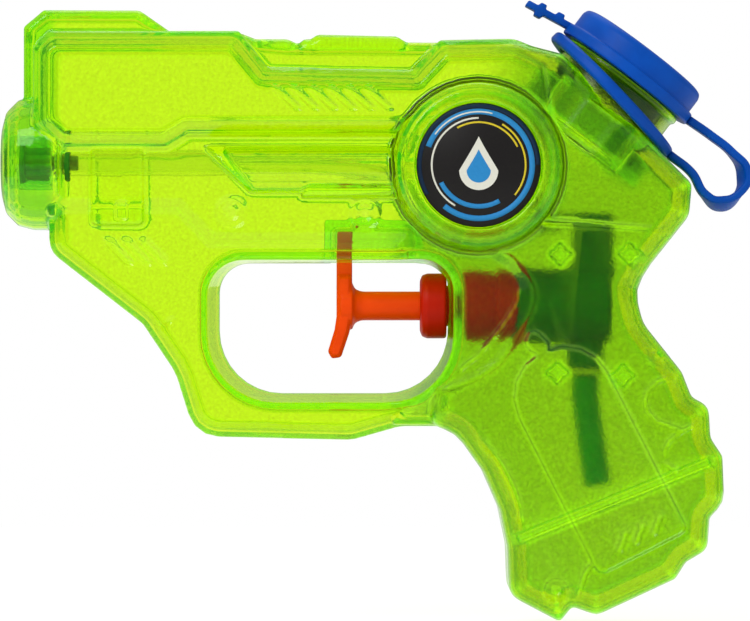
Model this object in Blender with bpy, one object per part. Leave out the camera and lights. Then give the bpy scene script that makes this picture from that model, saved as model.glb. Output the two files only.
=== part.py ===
"""Toy water squirter: two clear lime half shells round a trigger pump, with a plug-in filler cap on a tether.

The muzzle points along -X, +Z is up and the seam of the two halves is Y = 0.
The origin is the middle of the hand grip. Sizes are in millimetres and MM turns a finished mesh into metres.
"""

import math

import bmesh
import bpy
from mathutils import Matrix, Vector

MM = 0.001

# Moulding: wall of the half shells, gap left at the seam, and gap between pieces that touch.
WALL = 1.9
SEAM_GAP = 0.3
FIT = 0.3

# Overall sizes of the body.
BODY_LENGTH = 150.0
REAR_X = 21.6
TOP_Z = 86.6
GRIP_BASE_Z = -41.3

# Half widths of the stepped layers of the body, measured from the seam.
SIGHT_HALF = 5.0
RAIL_HALF = 6.0
RECEIVER_HALF = 16.0
FRAME_HALF = 12.5
GUARD_HALF = 11.3
REAR_HALF = 15.5
GRIP_HALF = REAR_HALF

# Edges of those layers: the flat chamfer of the receiver, the long slope of the frame
# and the rounding of the others.
RECEIVER_CHAMFER = 3.4
FRAME_RUN = 3.5
FRAME_DROP = 1.5
SOFT_EDGE = 2.4
GRIP_EDGE = 3.6

# Raised field round the gland that brings the guard out to the grip, and the long slope of its edge.
FIELD_HALF = GRIP_HALF - 0.6
FIELD_RUN = 9.0

# Barrel, muzzle and nozzle.
BORE_Z = 58.3
MUZZLE_RADIUS = 14.75
MUZZLE_DEPTH = 11.0
SPRAY_HOLE_RADIUS = 2.2
BARREL_Z = 56.5
BARREL_RADIUS = 5.8
BARREL_OFFSET = 10.0
NOZZLE_FLANGE_RADIUS = 4.35
NOZZLE_RADIUS = 3.7
NOZZLE_ORIFICE_RADIUS = 0.7
NOZZLE_SETBACK = 2.6
NOZZLE_LENGTH = 7.7
SPIGOT_RADIUS = 1.6
SPIGOT_BORE_RADIUS = 0.8
SPIGOT_LENGTH = 6.0

# Round badge on each side.
BADGE_X = -24.7
BADGE_Z = 57.4
BADGE_RADIUS = 13.4
BADGE_THICKNESS = 0.5
BEZEL_RADIUS = 19.0
BEZEL_HALF = 20.0
BADGE_RECESS = 1.6

# Trigger guard opening, measured at the seam, and how far each side flares out at the face.
GUARD_FRONT_X = -81.0
GUARD_REAR_X = -31.1
GUARD_TOP_Z = 36.4
GUARD_BOTTOM_Z = 8.0
FLARE_FRONT = 2.8
FLARE_REAR = 1.0
FLARE_TOP = 0.8
FLARE_BOTTOM = 2.2

# Trigger, its pocket and its stroke.
PUMP_Z = 27.1
STROKE = 13.0
ROD_RADIUS = 3.15
BLADE_X = -55.4
BLADE_THICKNESS = 3.4
BLADE_HALF = 4.5
TONGUE_HALF = 2.6
TONGUE_TOP_Z = 43.0
POCKET_PLAY = 0.8

# Pump: gland screwed through the wall, cylinder, piston and valves.
CYLINDER_RADIUS = 5.3
PISTON_LENGTH = 3.6
GLAND_HEAD_RADIUS = 7.1
GLAND_HEAD_LENGTH = 5.8
GLAND_NECK_RADIUS = 4.4
GLAND_SLEEVE_RADIUS = 7.9
GLAND_SLEEVE_LENGTH = 13.4
PUMP_RADIUS = 8.2
PUMP_REAR_X = 4.6
SPRING_WIRE = 0.7
SPRING_RADIUS = 3.9
SPRING_TURNS = 9
VALVE_BALL_RADIUS = 2.0
VALVE_CHAMBER_RADIUS = 2.7
VALVE_SEAT_RADIUS = 1.3
OUTLET_X = 0.6
OUTLET_RADIUS = 4.5
OUTLET_TOP_Z = 43.4
INLET_X = -1.0
INLET_RADIUS = 4.0
INLET_BOTTOM_Z = 13.6

# Hose to the nozzle and dip tube in the grip.
HOSE_BORE_RADIUS = SPIGOT_RADIUS + FIT
HOSE_WALL = 0.9
DIP_WALL = 1.1
DIP_END = (1.6, -12.0)

# Filler neck, cap and tether. The cap's top centre and the lean of its axis place all of them.
CAP_X = 12.0
CAP_Z = 82.8
NECK_LEAN = math.radians(37.2)
CAP_RADIUS = 15.75
CAP_HEIGHT = 5.0
CAP_FLANGE_RADIUS = 16.8
CAP_FLANGE = 2.5
CAP_PLUG_LENGTH = 5.5
CAP_WALL = 1.5
NECK_RADIUS = 14.1
NECK_WALL = 1.7
NECK_DEPTH = 15.6
TETHER_RING_RADIUS = 18.2
TETHER_RING_THICKNESS = 2.6
TETHER_RING_TILT = math.radians(9.0)
TETHER_RING_DROP = 12.0
STRAP_WIDTH = 5.4
STRAP_THICKNESS = 1.9

# Star-shaped posts that keep the pump in place: x, z and the half width of their layer.
POST_RADIUS = 2.4
POST_WAIST = 1.3
POST_HEIGHT = 3.6
POSTS = [
    (-7.0, 38.2, REAR_HALF),
    (8.0, 38.4, REAR_HALF),
    (-7.6, 12.6, GRIP_HALF),
    (6.6, 12.0, GRIP_HALF),
]

# Stations that follow from the sizes above.
NOSE = REAR_X - BODY_LENGTH
SEAM = SEAM_GAP / 2
ARC_STEP = math.radians(24)
ROUND = 32
SMALL = 0.05
FAR = 60.0


def clear_scene():
    for obj in list(bpy.data.objects):
        bpy.data.objects.remove(obj, do_unlink=True)


clear_scene()
PARTS = bpy.data.collections.new("water_squirter")
CUTTERS = bpy.data.collections.new("cutters")
for collection in (PARTS, CUTTERS):
    bpy.context.scene.collection.children.link(collection)


def plastic(name, colour, roughness, transmission=0.0, metallic=0.0):
    material = bpy.data.materials.new(name)
    material.use_nodes = True
    shader = material.node_tree.nodes["Principled BSDF"]
    shader.inputs["Base Color"].default_value = (*colour, 1.0)
    shader.inputs["Roughness"].default_value = roughness
    shader.inputs["Metallic"].default_value = metallic
    shader.inputs["Transmission Weight"].default_value = transmission
    material.diffuse_color = (*colour, 1.0)
    return material


LIME = plastic("clear_lime_polystyrene", (0.38, 0.80, 0.01), 0.12, transmission=0.8)
BLUE = plastic("blue_polyethylene", (0.0, 0.05, 0.43), 0.4)
ORANGE = plastic("orange_polypropylene", (0.87, 0.06, 0.0), 0.35)
RED = plastic("red_polypropylene", (0.45, 0.01, 0.0), 0.35)
PRINT = plastic("printed_vinyl", (0.01, 0.03, 0.06), 0.3)
STEEL = plastic("spring_steel", (0.6, 0.6, 0.6), 0.25, metallic=1.0)
RUBBER = plastic("black_rubber", (0.02, 0.02, 0.02), 0.6)
CLEAR = plastic("clear_vinyl", (0.8, 0.85, 0.8), 0.2, transmission=0.7)
NATURAL = plastic("natural_nylon", (0.75, 0.78, 0.72), 0.4)


def cap_point(depth, across=0.0):
    """Point (x, z) on the filler axis, depth below the cap's top, moved across towards the rear."""
    along = Vector((math.sin(NECK_LEAN), math.cos(NECK_LEAN)))
    aside = Vector((math.cos(NECK_LEAN), -math.sin(NECK_LEAN)))
    point = Vector((CAP_X, CAP_Z)) - depth * along + across * aside
    return point.x, point.y


CAP_AXIS = Vector((math.sin(NECK_LEAN), 0.0, math.cos(NECK_LEAN)))
ALONG_X = Vector((1.0, 0.0, 0.0))
ALONG_Z = Vector((0.0, 0.0, 1.0))


def link(name, mesh, material, home=PARTS):
    obj = bpy.data.objects.new(name, mesh)
    home.objects.link(obj)
    if material:
        mesh.materials.clear()
        mesh.materials.append(material)
    if home is CUTTERS:
        obj.hide_render = True
        obj.display_type = "WIRE"
    return obj


def from_bmesh(name, shape, material=None, home=CUTTERS):
    """Object of a bmesh in millimetres, with doubles welded and faces turned out."""
    bmesh.ops.remove_doubles(shape, verts=shape.verts, dist=SMALL)
    bmesh.ops.dissolve_degenerate(shape, edges=shape.edges, dist=SMALL / 5)
    bmesh.ops.recalc_face_normals(shape, faces=shape.faces)
    bmesh.ops.scale(shape, vec=(MM, MM, MM), verts=shape.verts)
    mesh = bpy.data.meshes.new(name)
    shape.to_mesh(mesh)
    shape.free()
    return link(name, mesh, material, home)


def combine(target, tool, operation):
    """Union or difference of two solids; the tool is used up."""
    modifier = target.modifiers.new(operation.lower(), "BOOLEAN")
    modifier.operation = operation
    modifier.solver = "MANIFOLD"
    modifier.object = tool
    graph = bpy.context.evaluated_depsgraph_get()
    mesh = bpy.data.meshes.new_from_object(target.evaluated_get(graph))
    target.modifiers.clear()
    target.data = mesh
    bpy.data.objects.remove(tool, do_unlink=True)


def join(target, *tools):
    for tool in tools:
        combine(target, tool, "UNION")


def cut(target, *tools):
    for tool in tools:
        combine(target, tool, "DIFFERENCE")


def finish(obj, name, material, pivot=(0, 0, 0)):
    """Make a worked solid a named part, shaded smooth between sharp edges, with its origin at pivot."""
    place = MM * Vector(pivot)
    obj.data.transform(Matrix.Translation(-place))
    obj.location = place
    obj.name = name
    obj.data.name = name
    obj.data.materials.clear()
    obj.data.materials.append(material)
    CUTTERS.objects.unlink(obj)
    PARTS.objects.link(obj)
    obj.hide_render = False
    obj.display_type = "TEXTURED"
    obj.data.shade_smooth()
    obj.data.set_sharp_from_angle(angle=math.radians(35))
    return obj


def drawn_in(corners, inset):
    """Outline of (x, z, radius) corners moved inwards by inset, mitred, with the radii to match."""
    points = [Vector(corner[:2]) for corner in corners]
    count = len(points)
    area = sum(points[i].cross(points[(i + 1) % count]) for i in range(count))
    turn = 1.0 if area > 0 else -1.0
    moved = []
    for i in range(count):
        before = (points[i] - points[i - 1]).normalized()
        after = (points[(i + 1) % count] - points[i]).normalized()
        inward_before = turn * Vector((-before.y, before.x))
        inward_after = turn * Vector((-after.y, after.x))
        mitre = (inward_before + inward_after) / (1.0 + inward_before.dot(inward_after))
        convex = turn * before.cross(after) > 0
        radius = corners[i][2]
        if radius:
            radius = max(radius - inset, SMALL) if convex else radius + inset
        moved.append((*(points[i] + inset * mitre), radius))
    return moved


def rounded(corners, arc_step=ARC_STEP):
    """Closed outline of points in which each corner's radius is an arc."""
    outline = []
    count = len(corners)
    for i in range(count):
        corner = Vector(corners[i][:2])
        radius = corners[i][2]
        back = Vector(corners[i - 1][:2]) - corner
        ahead = Vector(corners[(i + 1) % count][:2]) - corner
        turn = math.pi - back.angle(ahead)
        if not radius or turn < math.radians(3):
            outline.append(corner)
            continue
        reach = min(radius * math.tan(turn / 2), 0.48 * back.length, 0.48 * ahead.length)
        start = corner + reach * back.normalized()
        end = corner + reach * ahead.normalized()
        centre = corner + (back.normalized() + ahead.normalized()).normalized() * (reach / math.sin(turn / 2))
        steps = max(1, math.ceil(turn / arc_step))
        first = math.atan2(start.y - centre.y, start.x - centre.x)
        last = math.atan2(end.y - centre.y, end.x - centre.x)
        swing = (last - first + math.pi) % (2 * math.pi) - math.pi
        spoke = (start - centre).length
        for step in range(steps + 1):
            angle = first + swing * step / steps
            outline.append(centre + spoke * Vector((math.cos(angle), math.sin(angle))))
    return outline


def loft(sections, side=1, arc_step=ARC_STEP):
    """Solid lofted along Y through (y, corners) sections with equal numbers of corners."""
    shape = bmesh.new()
    rings = []
    for y, corners in sections:
        rings.append([shape.verts.new((x, side * y, z)) for x, z in rounded(corners, arc_step)])
    count = len(rings[0])
    for near, far in zip(rings, rings[1:]):
        for i in range(count):
            j = (i + 1) % count
            shape.faces.new((near[i], near[j], far[j], far[i]))
    shape.faces.new(rings[0])
    shape.faces.new(rings[-1])
    return from_bmesh("loft", shape)


def plate(corners, levels, side=1):
    """Solid lofted through (y, inset) levels of one outline."""
    return loft([(y, drawn_in(corners, inset)) for y, inset in levels], side)


def edged(half, run, inset=0.0, steps=1, drop=None):
    """Levels of a layer from past the seam out to half, its outer edge chamfered or, in more steps, rounded.

    The edge goes in by run and falls by drop. A layer drawn in by inset gets the edge that keeps the wall
    even.
    """
    slope = math.atan2(drop or run, run)
    fall = math.tan(slope)
    run = max(run - inset * (1 - math.tan(slope / 2)), SMALL)
    levels = [(-1.0, inset), (half - run * fall, inset)]
    for step in range(1, steps + 1):
        swing = math.pi / 2 * step / steps
        levels.append((half - run * fall * (1 - math.sin(swing)), inset + run * (1 - math.cos(swing))))
    return levels


def stripe(points, width):
    """Outline of a band of that width along (x, z) points."""
    path = [Vector(point) for point in points]
    left, right = [], []
    for i, point in enumerate(path):
        along = path[min(i + 1, len(path) - 1)] - path[max(i - 1, 0)]
        across = Vector((-along.y, along.x)).normalized() * width / 2
        left.append((*(point + across), 0))
        right.append((*(point - across), 0))
    return left + right[::-1]


def turned(profile, centre, axis, steps=20, closed=True):
    """Solid of revolution of (radius, height) points about an axis through centre (x, y, z)."""
    shape = bmesh.new()
    points = [shape.verts.new((radius, 0.0, height)) for radius, height in profile]
    edges = [shape.edges.new(pair) for pair in zip(points, points[1:])]
    if closed:
        edges.append(shape.edges.new((points[-1], points[0])))
    bmesh.ops.spin(
        shape,
        geom=points + edges,
        cent=(0, 0, 0),
        axis=(0, 0, 1),
        angle=2 * math.pi,
        steps=steps,
        use_merge=True,
    )
    turn = ALONG_Z.rotation_difference(Vector(axis)).to_matrix()
    bmesh.ops.rotate(shape, cent=(0, 0, 0), matrix=turn, verts=shape.verts)
    bmesh.ops.translate(shape, vec=centre, verts=shape.verts)
    return from_bmesh("turned", shape)


def rod(radius, start, end, axis_point, axis, steps=20):
    """Plain cylinder from start to end along an axis."""
    profile = [(0, start), (radius, start), (radius, end), (0, end)]
    return turned(profile, axis_point, axis, steps, closed=False)


def block(low, high):
    shape = bmesh.new()
    bmesh.ops.create_cube(shape, size=1.0)
    size = Vector(high) - Vector(low)
    bmesh.ops.scale(shape, vec=size, verts=shape.verts)
    bmesh.ops.translate(shape, vec=(Vector(high) + Vector(low)) / 2, verts=shape.verts)
    return from_bmesh("block", shape)


# Outlines of the body in the XZ plane, as (x, z, corner radius).
# The front ones are placed from the nose, the others from the guard, the pump and the grip.
SIGHT = [
    (NOSE + 4.8, BORE_Z, 0),
    (NOSE + 4.8, TOP_Z + 1.3, 0),
    (NOSE + 9.2, TOP_Z + 5.0, 0),
    (NOSE + 30.1, TOP_Z + 4.9, 2),
    (NOSE + 37.4, TOP_Z - 0.2, 0),
    (NOSE + 42.0, BORE_Z, 0),
]
RAIL = [
    (-79.0, BORE_Z, 0),
    (-79.0, TOP_Z - 0.2, 0),
    (-76.0, TOP_Z - 0.2, 1),
    (-73.0, TOP_Z - 1.4, 1),
    (-66.0, TOP_Z - 1.4, 1),
    (-63.8, TOP_Z - 2.5, 0),
    (-62.4, TOP_Z - 1.4, 0),
    (-61.0, TOP_Z - 1.4, 0),
    (-59.5, TOP_Z - 0.4, 1),
    (-42.2, TOP_Z - 0.8, 1),
    (-40.2, TOP_Z - 2.1, 1),
    (-28.0, TOP_Z - 2.2, 0),
    (-28.0, BORE_Z, 0),
]
RAIL_CORE = [
    (-79.0, BORE_Z, 0),
    (-79.0, TOP_Z - 0.8, 0),
    (-66.0, TOP_Z - 2.0, 0),
    (-28.0, TOP_Z - 2.2, 0),
    (-28.0, BORE_Z, 0),
]
RECEIVER = [
    (NOSE + 7.4, 66.0, 0),
    (NOSE + 7.4, TOP_Z - 3.4, 0),
    (NOSE + 10.8, TOP_Z, 0),
    (-76.5, TOP_Z, 0),
    (-70.2, TOP_Z - 7.7, 0),
    (-38.9, TOP_Z - 8.4, 0),
    (-33.0, TOP_Z - 2.0, 0),
    (-16.8, TOP_Z - 1.7, 6),
    (-7.6, TOP_Z - 5.6, 0),
    (-5.0, 63.6, 0),
    (NOSE + 41.2, 63.6, 0),
    (NOSE + 36.5, 60.7, 0),
    (NOSE + 13.0, 60.7, 0),
]
FRAME = [
    (NOSE + 10.7, 68.0, 0),
    (NOSE + 10.7, 46.6, 0),
    (NOSE + 38.0, 46.6, 0),
    (NOSE + 45.0, GUARD_TOP_Z + 2.8, 0),
    (-14.0, GUARD_TOP_Z + 2.8, 0),
    (-14.0, 68.0, 0),
]
GUARD = [
    (NOSE + 10.7, 56.0, 0),
    (NOSE + 10.7, 39.0, 5),
    (NOSE + 31.0, 23.2, 2),
    (-90.3, 12.6, 8),
    (-86.0, -1.2, 7),
    (-52.0, -2.0, 6),
    (-41.5, 1.0, 6),
    (-31.0, 1.0, 3),
    (-22.0, -5.0, 0),
    (-12.0, 10.0, 0),
    (-12.0, 56.0, 0),
]
GUARD_OPENING = [
    (GUARD_FRONT_X, GUARD_TOP_Z, 6.5),
    (GUARD_FRONT_X, GUARD_BOTTOM_Z, 14.5),
    (GUARD_REAR_X, GUARD_BOTTOM_Z, 17.0),
    (GUARD_REAR_X, GUARD_TOP_Z, 6.0),
]
GUARD_OPENING_FACE = [
    (GUARD_FRONT_X - FLARE_FRONT, GUARD_TOP_Z + FLARE_TOP, 8.0),
    (GUARD_FRONT_X - FLARE_FRONT, GUARD_BOTTOM_Z - FLARE_BOTTOM, 17.0),
    (GUARD_REAR_X + FLARE_REAR, GUARD_BOTTOM_Z - FLARE_BOTTOM, 19.0),
    (GUARD_REAR_X + FLARE_REAR, GUARD_TOP_Z + FLARE_TOP, 7.0),
]
REAR = [
    (-36.0, 42.0, 0),
    (-30.0, TOP_Z - 3.4, 0),
    (-17.0, TOP_Z - 2.2, 5),
    (-6.3, TOP_Z - 5.0, 1),
    (REAR_X, 53.6, 2),
    (REAR_X - 0.6, 46.6, 4),
    (10.2, 33.0, 0),
    (5.0, 26.0, 0),
    (-14.0, 31.0, 4),
    (-24.0, 37.0, 0),
]
GRIP = [
    (-24.0, 40.0, 0),
    (-15.8, 29.5, 4),
    (-22.4, 16.6, 10),
    (-35.5, 10.6, 3),
    (-35.0, 1.4, 3),
    (-29.6, -0.4, 9),
    (-21.0, -12.5, 22),
    (-18.4, -25.2, 1),
    (-18.0, GRIP_BASE_Z + 5.8, 4),
    (-7.0, GRIP_BASE_Z, 1),
    (-4.3, GRIP_BASE_Z + 3.3, 1),
    (1.0, GRIP_BASE_Z + 1.4, 3),
    (18.0, GRIP_BASE_Z + 9.3, 1),
    (20.3, GRIP_BASE_Z + 12.9, 1),
    (25.0, -25.6, 3),
    (25.4, -18.8, 1),
    (28.6, -15.4, 5),
    (28.2, -5.4, 2),
    (25.6, -1.5, 3),
    (25.2, 5.4, 3),
    (21.5, 7.4, 2),
    (19.4, 12.8, 3),
    (11.0, 23.4, 7),
    (9.2, 30.6, 7),
    (12.6, 36.0, 0),
    (0.0, 48.0, 0),
]
FIELD = [
    (-43.0, 1.4, 0),
    (-20.0, 1.4, 0),
    (4.0, 20.0, 0),
    (4.0, 58.0, 0),
    (-43.0, 58.0, 0),
]
GRIP_PANEL = [
    (-20.8, 12.2, 10.5),
    (-1.4, 22.2, 10.5),
    (20.8, -21.4, 2),
    (1.3, -31.3, 2),
]
PANEL_DEPTH = 0.7
PANEL_RIM = 0.3
CAPSULE = [(-15.1, 18.4, 1.9), (-13.4, 22.9, 1.9), (-8.9, 18.8, 1.9), (-10.6, 15.6, 1.9)]
SIDE_PAD = [
    (NOSE + 20.1, 44.6, 1),
    (NOSE + 20.1, 62.6, 2),
    (NOSE + 31.2, 62.6, 2),
    (NOSE + 31.2, 44.6, 1),
]
PAD_RISE = 0.9
PAD_ARCH = [
    (NOSE + 25.2, 45.6, 0),
    (NOSE + 25.2, 49.8, 1.3),
    (NOSE + 27.9, 49.8, 1.3),
    (NOSE + 27.9, 45.6, 0),
]

# Slanted slots in the outer faces: x and z of the first, its run and rise, its width,
# how many there are, the step to the next and the half width of the layer.
SLOT_DEPTH = 0.6
SLOTS = [
    ((-70.0, 74.6), (5.9, -5.4), 2.1, 6, (3.94, 0.0), RECEIVER_HALF),
    ((NOSE + 21.9, 41.6), (5.5, -5.7), 2.6, 3, (3.72, 0.0), GUARD_HALF),
    ((4.8, -26.5), (1.8, 5.3), 1.5, 3, (3.7, 1.8), GRIP_HALF - PANEL_DEPTH),
]

# Thin lines moulded in the sides: round the two thumb pads at the back of the grip, along its front strap,
# at its foot, round the field at the gland and across the front of the guard.
LINE_WIDTH = 0.9
LINE_DEPTH = 0.6
UPPER_PAD_LINE = [(19.0, 12.6), (14.0, 10.8), (11.8, 8.8), (11.2, 6.6), (11.8, 4.2), (13.6, 2.2), (18.8, 0.3)]
LOWER_PAD_LINE = [(21.8, 1.2), (19.0, -0.2), (16.6, -2.0), (15.5, -4.2), (15.7, -7.0), (18.4, -9.0)]
STRAP_LINE = [(-24.6, -1.6), (-22.0, -4.0), (-19.4, -7.4), (-17.2, -11.6), (-15.8, -16.0), (-15.2, -20.0)]
FOOT_LINE = [(-4.0, -38.0), (-1.6, -30.6), (0.8, -27.6)]
FIELD_LINE = [(-15.7, 31.0), (-16.4, 27.6), (-18.0, 24.8), (-20.3, 21.6), (-24.5, 16.4), (-29.0, 13.0)]
GUARD_LINE = [(-96.8, 23.2), (-92.9, 22.5), (-88.6, 25.6), (-83.4, 25.4)]
LINES = [
    (UPPER_PAD_LINE, GRIP_HALF),
    (LOWER_PAD_LINE, GRIP_HALF),
    (STRAP_LINE, GRIP_HALF),
    (FOOT_LINE, GRIP_HALF),
    (FIELD_LINE, FIELD_HALF),
    (GUARD_LINE, GUARD_HALF),
]

# Wedge-shaped step across the rear, from the bezel to the back.
REAR_STEP = [(-11.8, 46.4, 0), (-11.0, 44.6, 0), (18.6, 43.0, 0), (18.6, 43.6, 0)]

# Round marks in the outer faces, a shallow disc with a deeper middle: x, z, radius and the half width there.
MARK_DEPTH = 0.5
MARKS = [
    (-78.1, 47.3, 3.5, FRAME_HALF),
    (-49.2, 47.2, 3.5, FRAME_HALF),
    (-7.9, -34.2, 2.6, GRIP_HALF),
    (14.0, 16.4, 2.2, GRIP_HALF),
]

# Rib across the inside of the grip, from the front strap up to the back.
RIB = [(-15.6, -23.2), (25.0, -6.8)]
RIB_WIDTH = 1.7
RIB_HEIGHT = 3.1
BARREL_BLOCK = [(-63.0, 50.6, 0), (-60.6, 55.6, 0), (-38.0, 55.6, 0), (-38.0, 50.6, 0)]
BLOCK_HALF = 15.0


def barrel(radius, front, rear, side):
    """Lengthwise half-round relief whose front end slants back towards the guard."""
    slant = 2.0 * BARREL_RADIUS
    solid = rod(radius, front, rear, (0.0, side * BARREL_OFFSET, BARREL_Z), ALONG_X)
    for vertex in solid.data.vertices:
        if vertex.co.x < (front + SMALL) * MM:
            vertex.co.x += (slant / 2) * MM - (vertex.co.z - BARREL_Z * MM)
    return solid


def bezel(radius, top, side):
    """Round dome that carries the badge, turned about a cross axis."""
    profile = [
        (0.0, -1.0),
        (radius, -1.0),
        (radius, top - 4.6),
        (radius - 0.5, top - 2.9),
        (radius - 1.4, top - 1.2),
        (radius - 3.0, top),
        (0.0, top),
    ]
    return turned(profile, (BADGE_X, 0.0, BADGE_Z), (0.0, side, 0.0), ROUND, closed=False)


def muzzle(radius, front, rear, rounding):
    """Bulb at the front of the barrel, turned about the bore."""
    profile = [(0.0, front)]
    for angle in (0, 30, 60, 90):
        swing = math.radians(angle)
        profile.append((radius - rounding * (1 - math.sin(swing)), front + rounding * (1 - math.cos(swing))))
    profile += [(radius, rear), (0.0, rear)]
    return turned(profile, (0.0, 0.0, BORE_Z), ALONG_X, 24, closed=False)


MUZZLE_ROUNDING = 7.0
BARREL_FRONT_X = -84.6
POCKET_FRONT_X = BLADE_X - POCKET_PLAY
POCKET_REAR_X = BLADE_X + BLADE_THICKNESS + STROKE + POCKET_PLAY
POCKET_HALF = TONGUE_HALF + 0.7
POCKET_TOP_Z = TONGUE_TOP_Z + 0.9
NOZZLE_SEAT_WALL = 1.2
NECK_COLLAR_RADIUS = NECK_RADIUS + FIT + WALL
NECK_TOP_DEPTH = CAP_HEIGHT + CAP_FLANGE + FIT
NECK_FOOT_DEPTH = NECK_TOP_DEPTH + NECK_DEPTH
COLLAR_TOP_DEPTH = NECK_TOP_DEPTH + 8.6


def layers(side, wall):
    """Solids that make up one half of the body, drawn in by wall; wall 0 is the outside."""
    steps = 1 if wall else 3
    solids = [
        plate(GRIP, edged(GRIP_HALF - wall, GRIP_EDGE, wall, steps), side),
        plate(REAR, edged(REAR_HALF - wall, GRIP_EDGE, wall, steps), side),
        plate(GUARD, edged(GUARD_HALF - wall, SOFT_EDGE, wall), side),
        plate(FIELD, edged(FIELD_HALF - wall, FIELD_RUN, wall, drop=FIELD_HALF - GUARD_HALF), side),
        plate(FRAME, edged(FRAME_HALF - wall, FRAME_RUN, wall, drop=FRAME_DROP), side),
        plate(RECEIVER, edged(RECEIVER_HALF - wall, RECEIVER_CHAMFER, wall), side),
        plate(SIGHT, edged(SIGHT_HALF - wall, SOFT_EDGE / 2, wall), side),
        plate(RAIL_CORE if wall else RAIL, edged(RAIL_HALF - wall, SOFT_EDGE / 2, wall), side),
        barrel(BARREL_RADIUS - wall, BARREL_FRONT_X + wall, BADGE_X, side),
        bezel(BEZEL_RADIUS - wall, BEZEL_HALF - (BADGE_RECESS + wall if wall else 0.0), side),
        muzzle(MUZZLE_RADIUS - wall, NOSE + wall, NOSE + MUZZLE_DEPTH + WALL, MUZZLE_ROUNDING - wall),
    ]
    body = solids[0]
    join(body, *solids[1:])
    return body


def guard_tunnel(side, wall):
    """Space of the finger opening grown by wall: straight at the seam, flared to the face, then straight."""
    inner = drawn_in(GUARD_OPENING, -wall)
    outer = drawn_in(GUARD_OPENING_FACE, -wall)
    sections = [(-2.0, inner), (SOFT_EDGE, inner), (FRAME_HALF, outer), (FAR, outer)]
    return loft(sections, side, ARC_STEP / 2)


def recess(outline, half, depth, side):
    """Cutter for a shallow straight-sided recess in the face at half."""
    return plate(outline, [(half - depth, 0.0), (half + 1.0, 0.0)], side)


def post(x, z, half, side):
    """Short four-pointed post on the inside of the wall."""
    star = []
    for i in range(8):
        reach = POST_WAIST if i % 2 else POST_RADIUS
        angle = math.pi * i / 4
        star.append((x + reach * math.cos(angle), z + reach * math.sin(angle), 0))
    return plate(star, [(half - WALL - POST_HEIGHT, 0.0), (half - WALL / 2, 0.0)], side)


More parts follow.
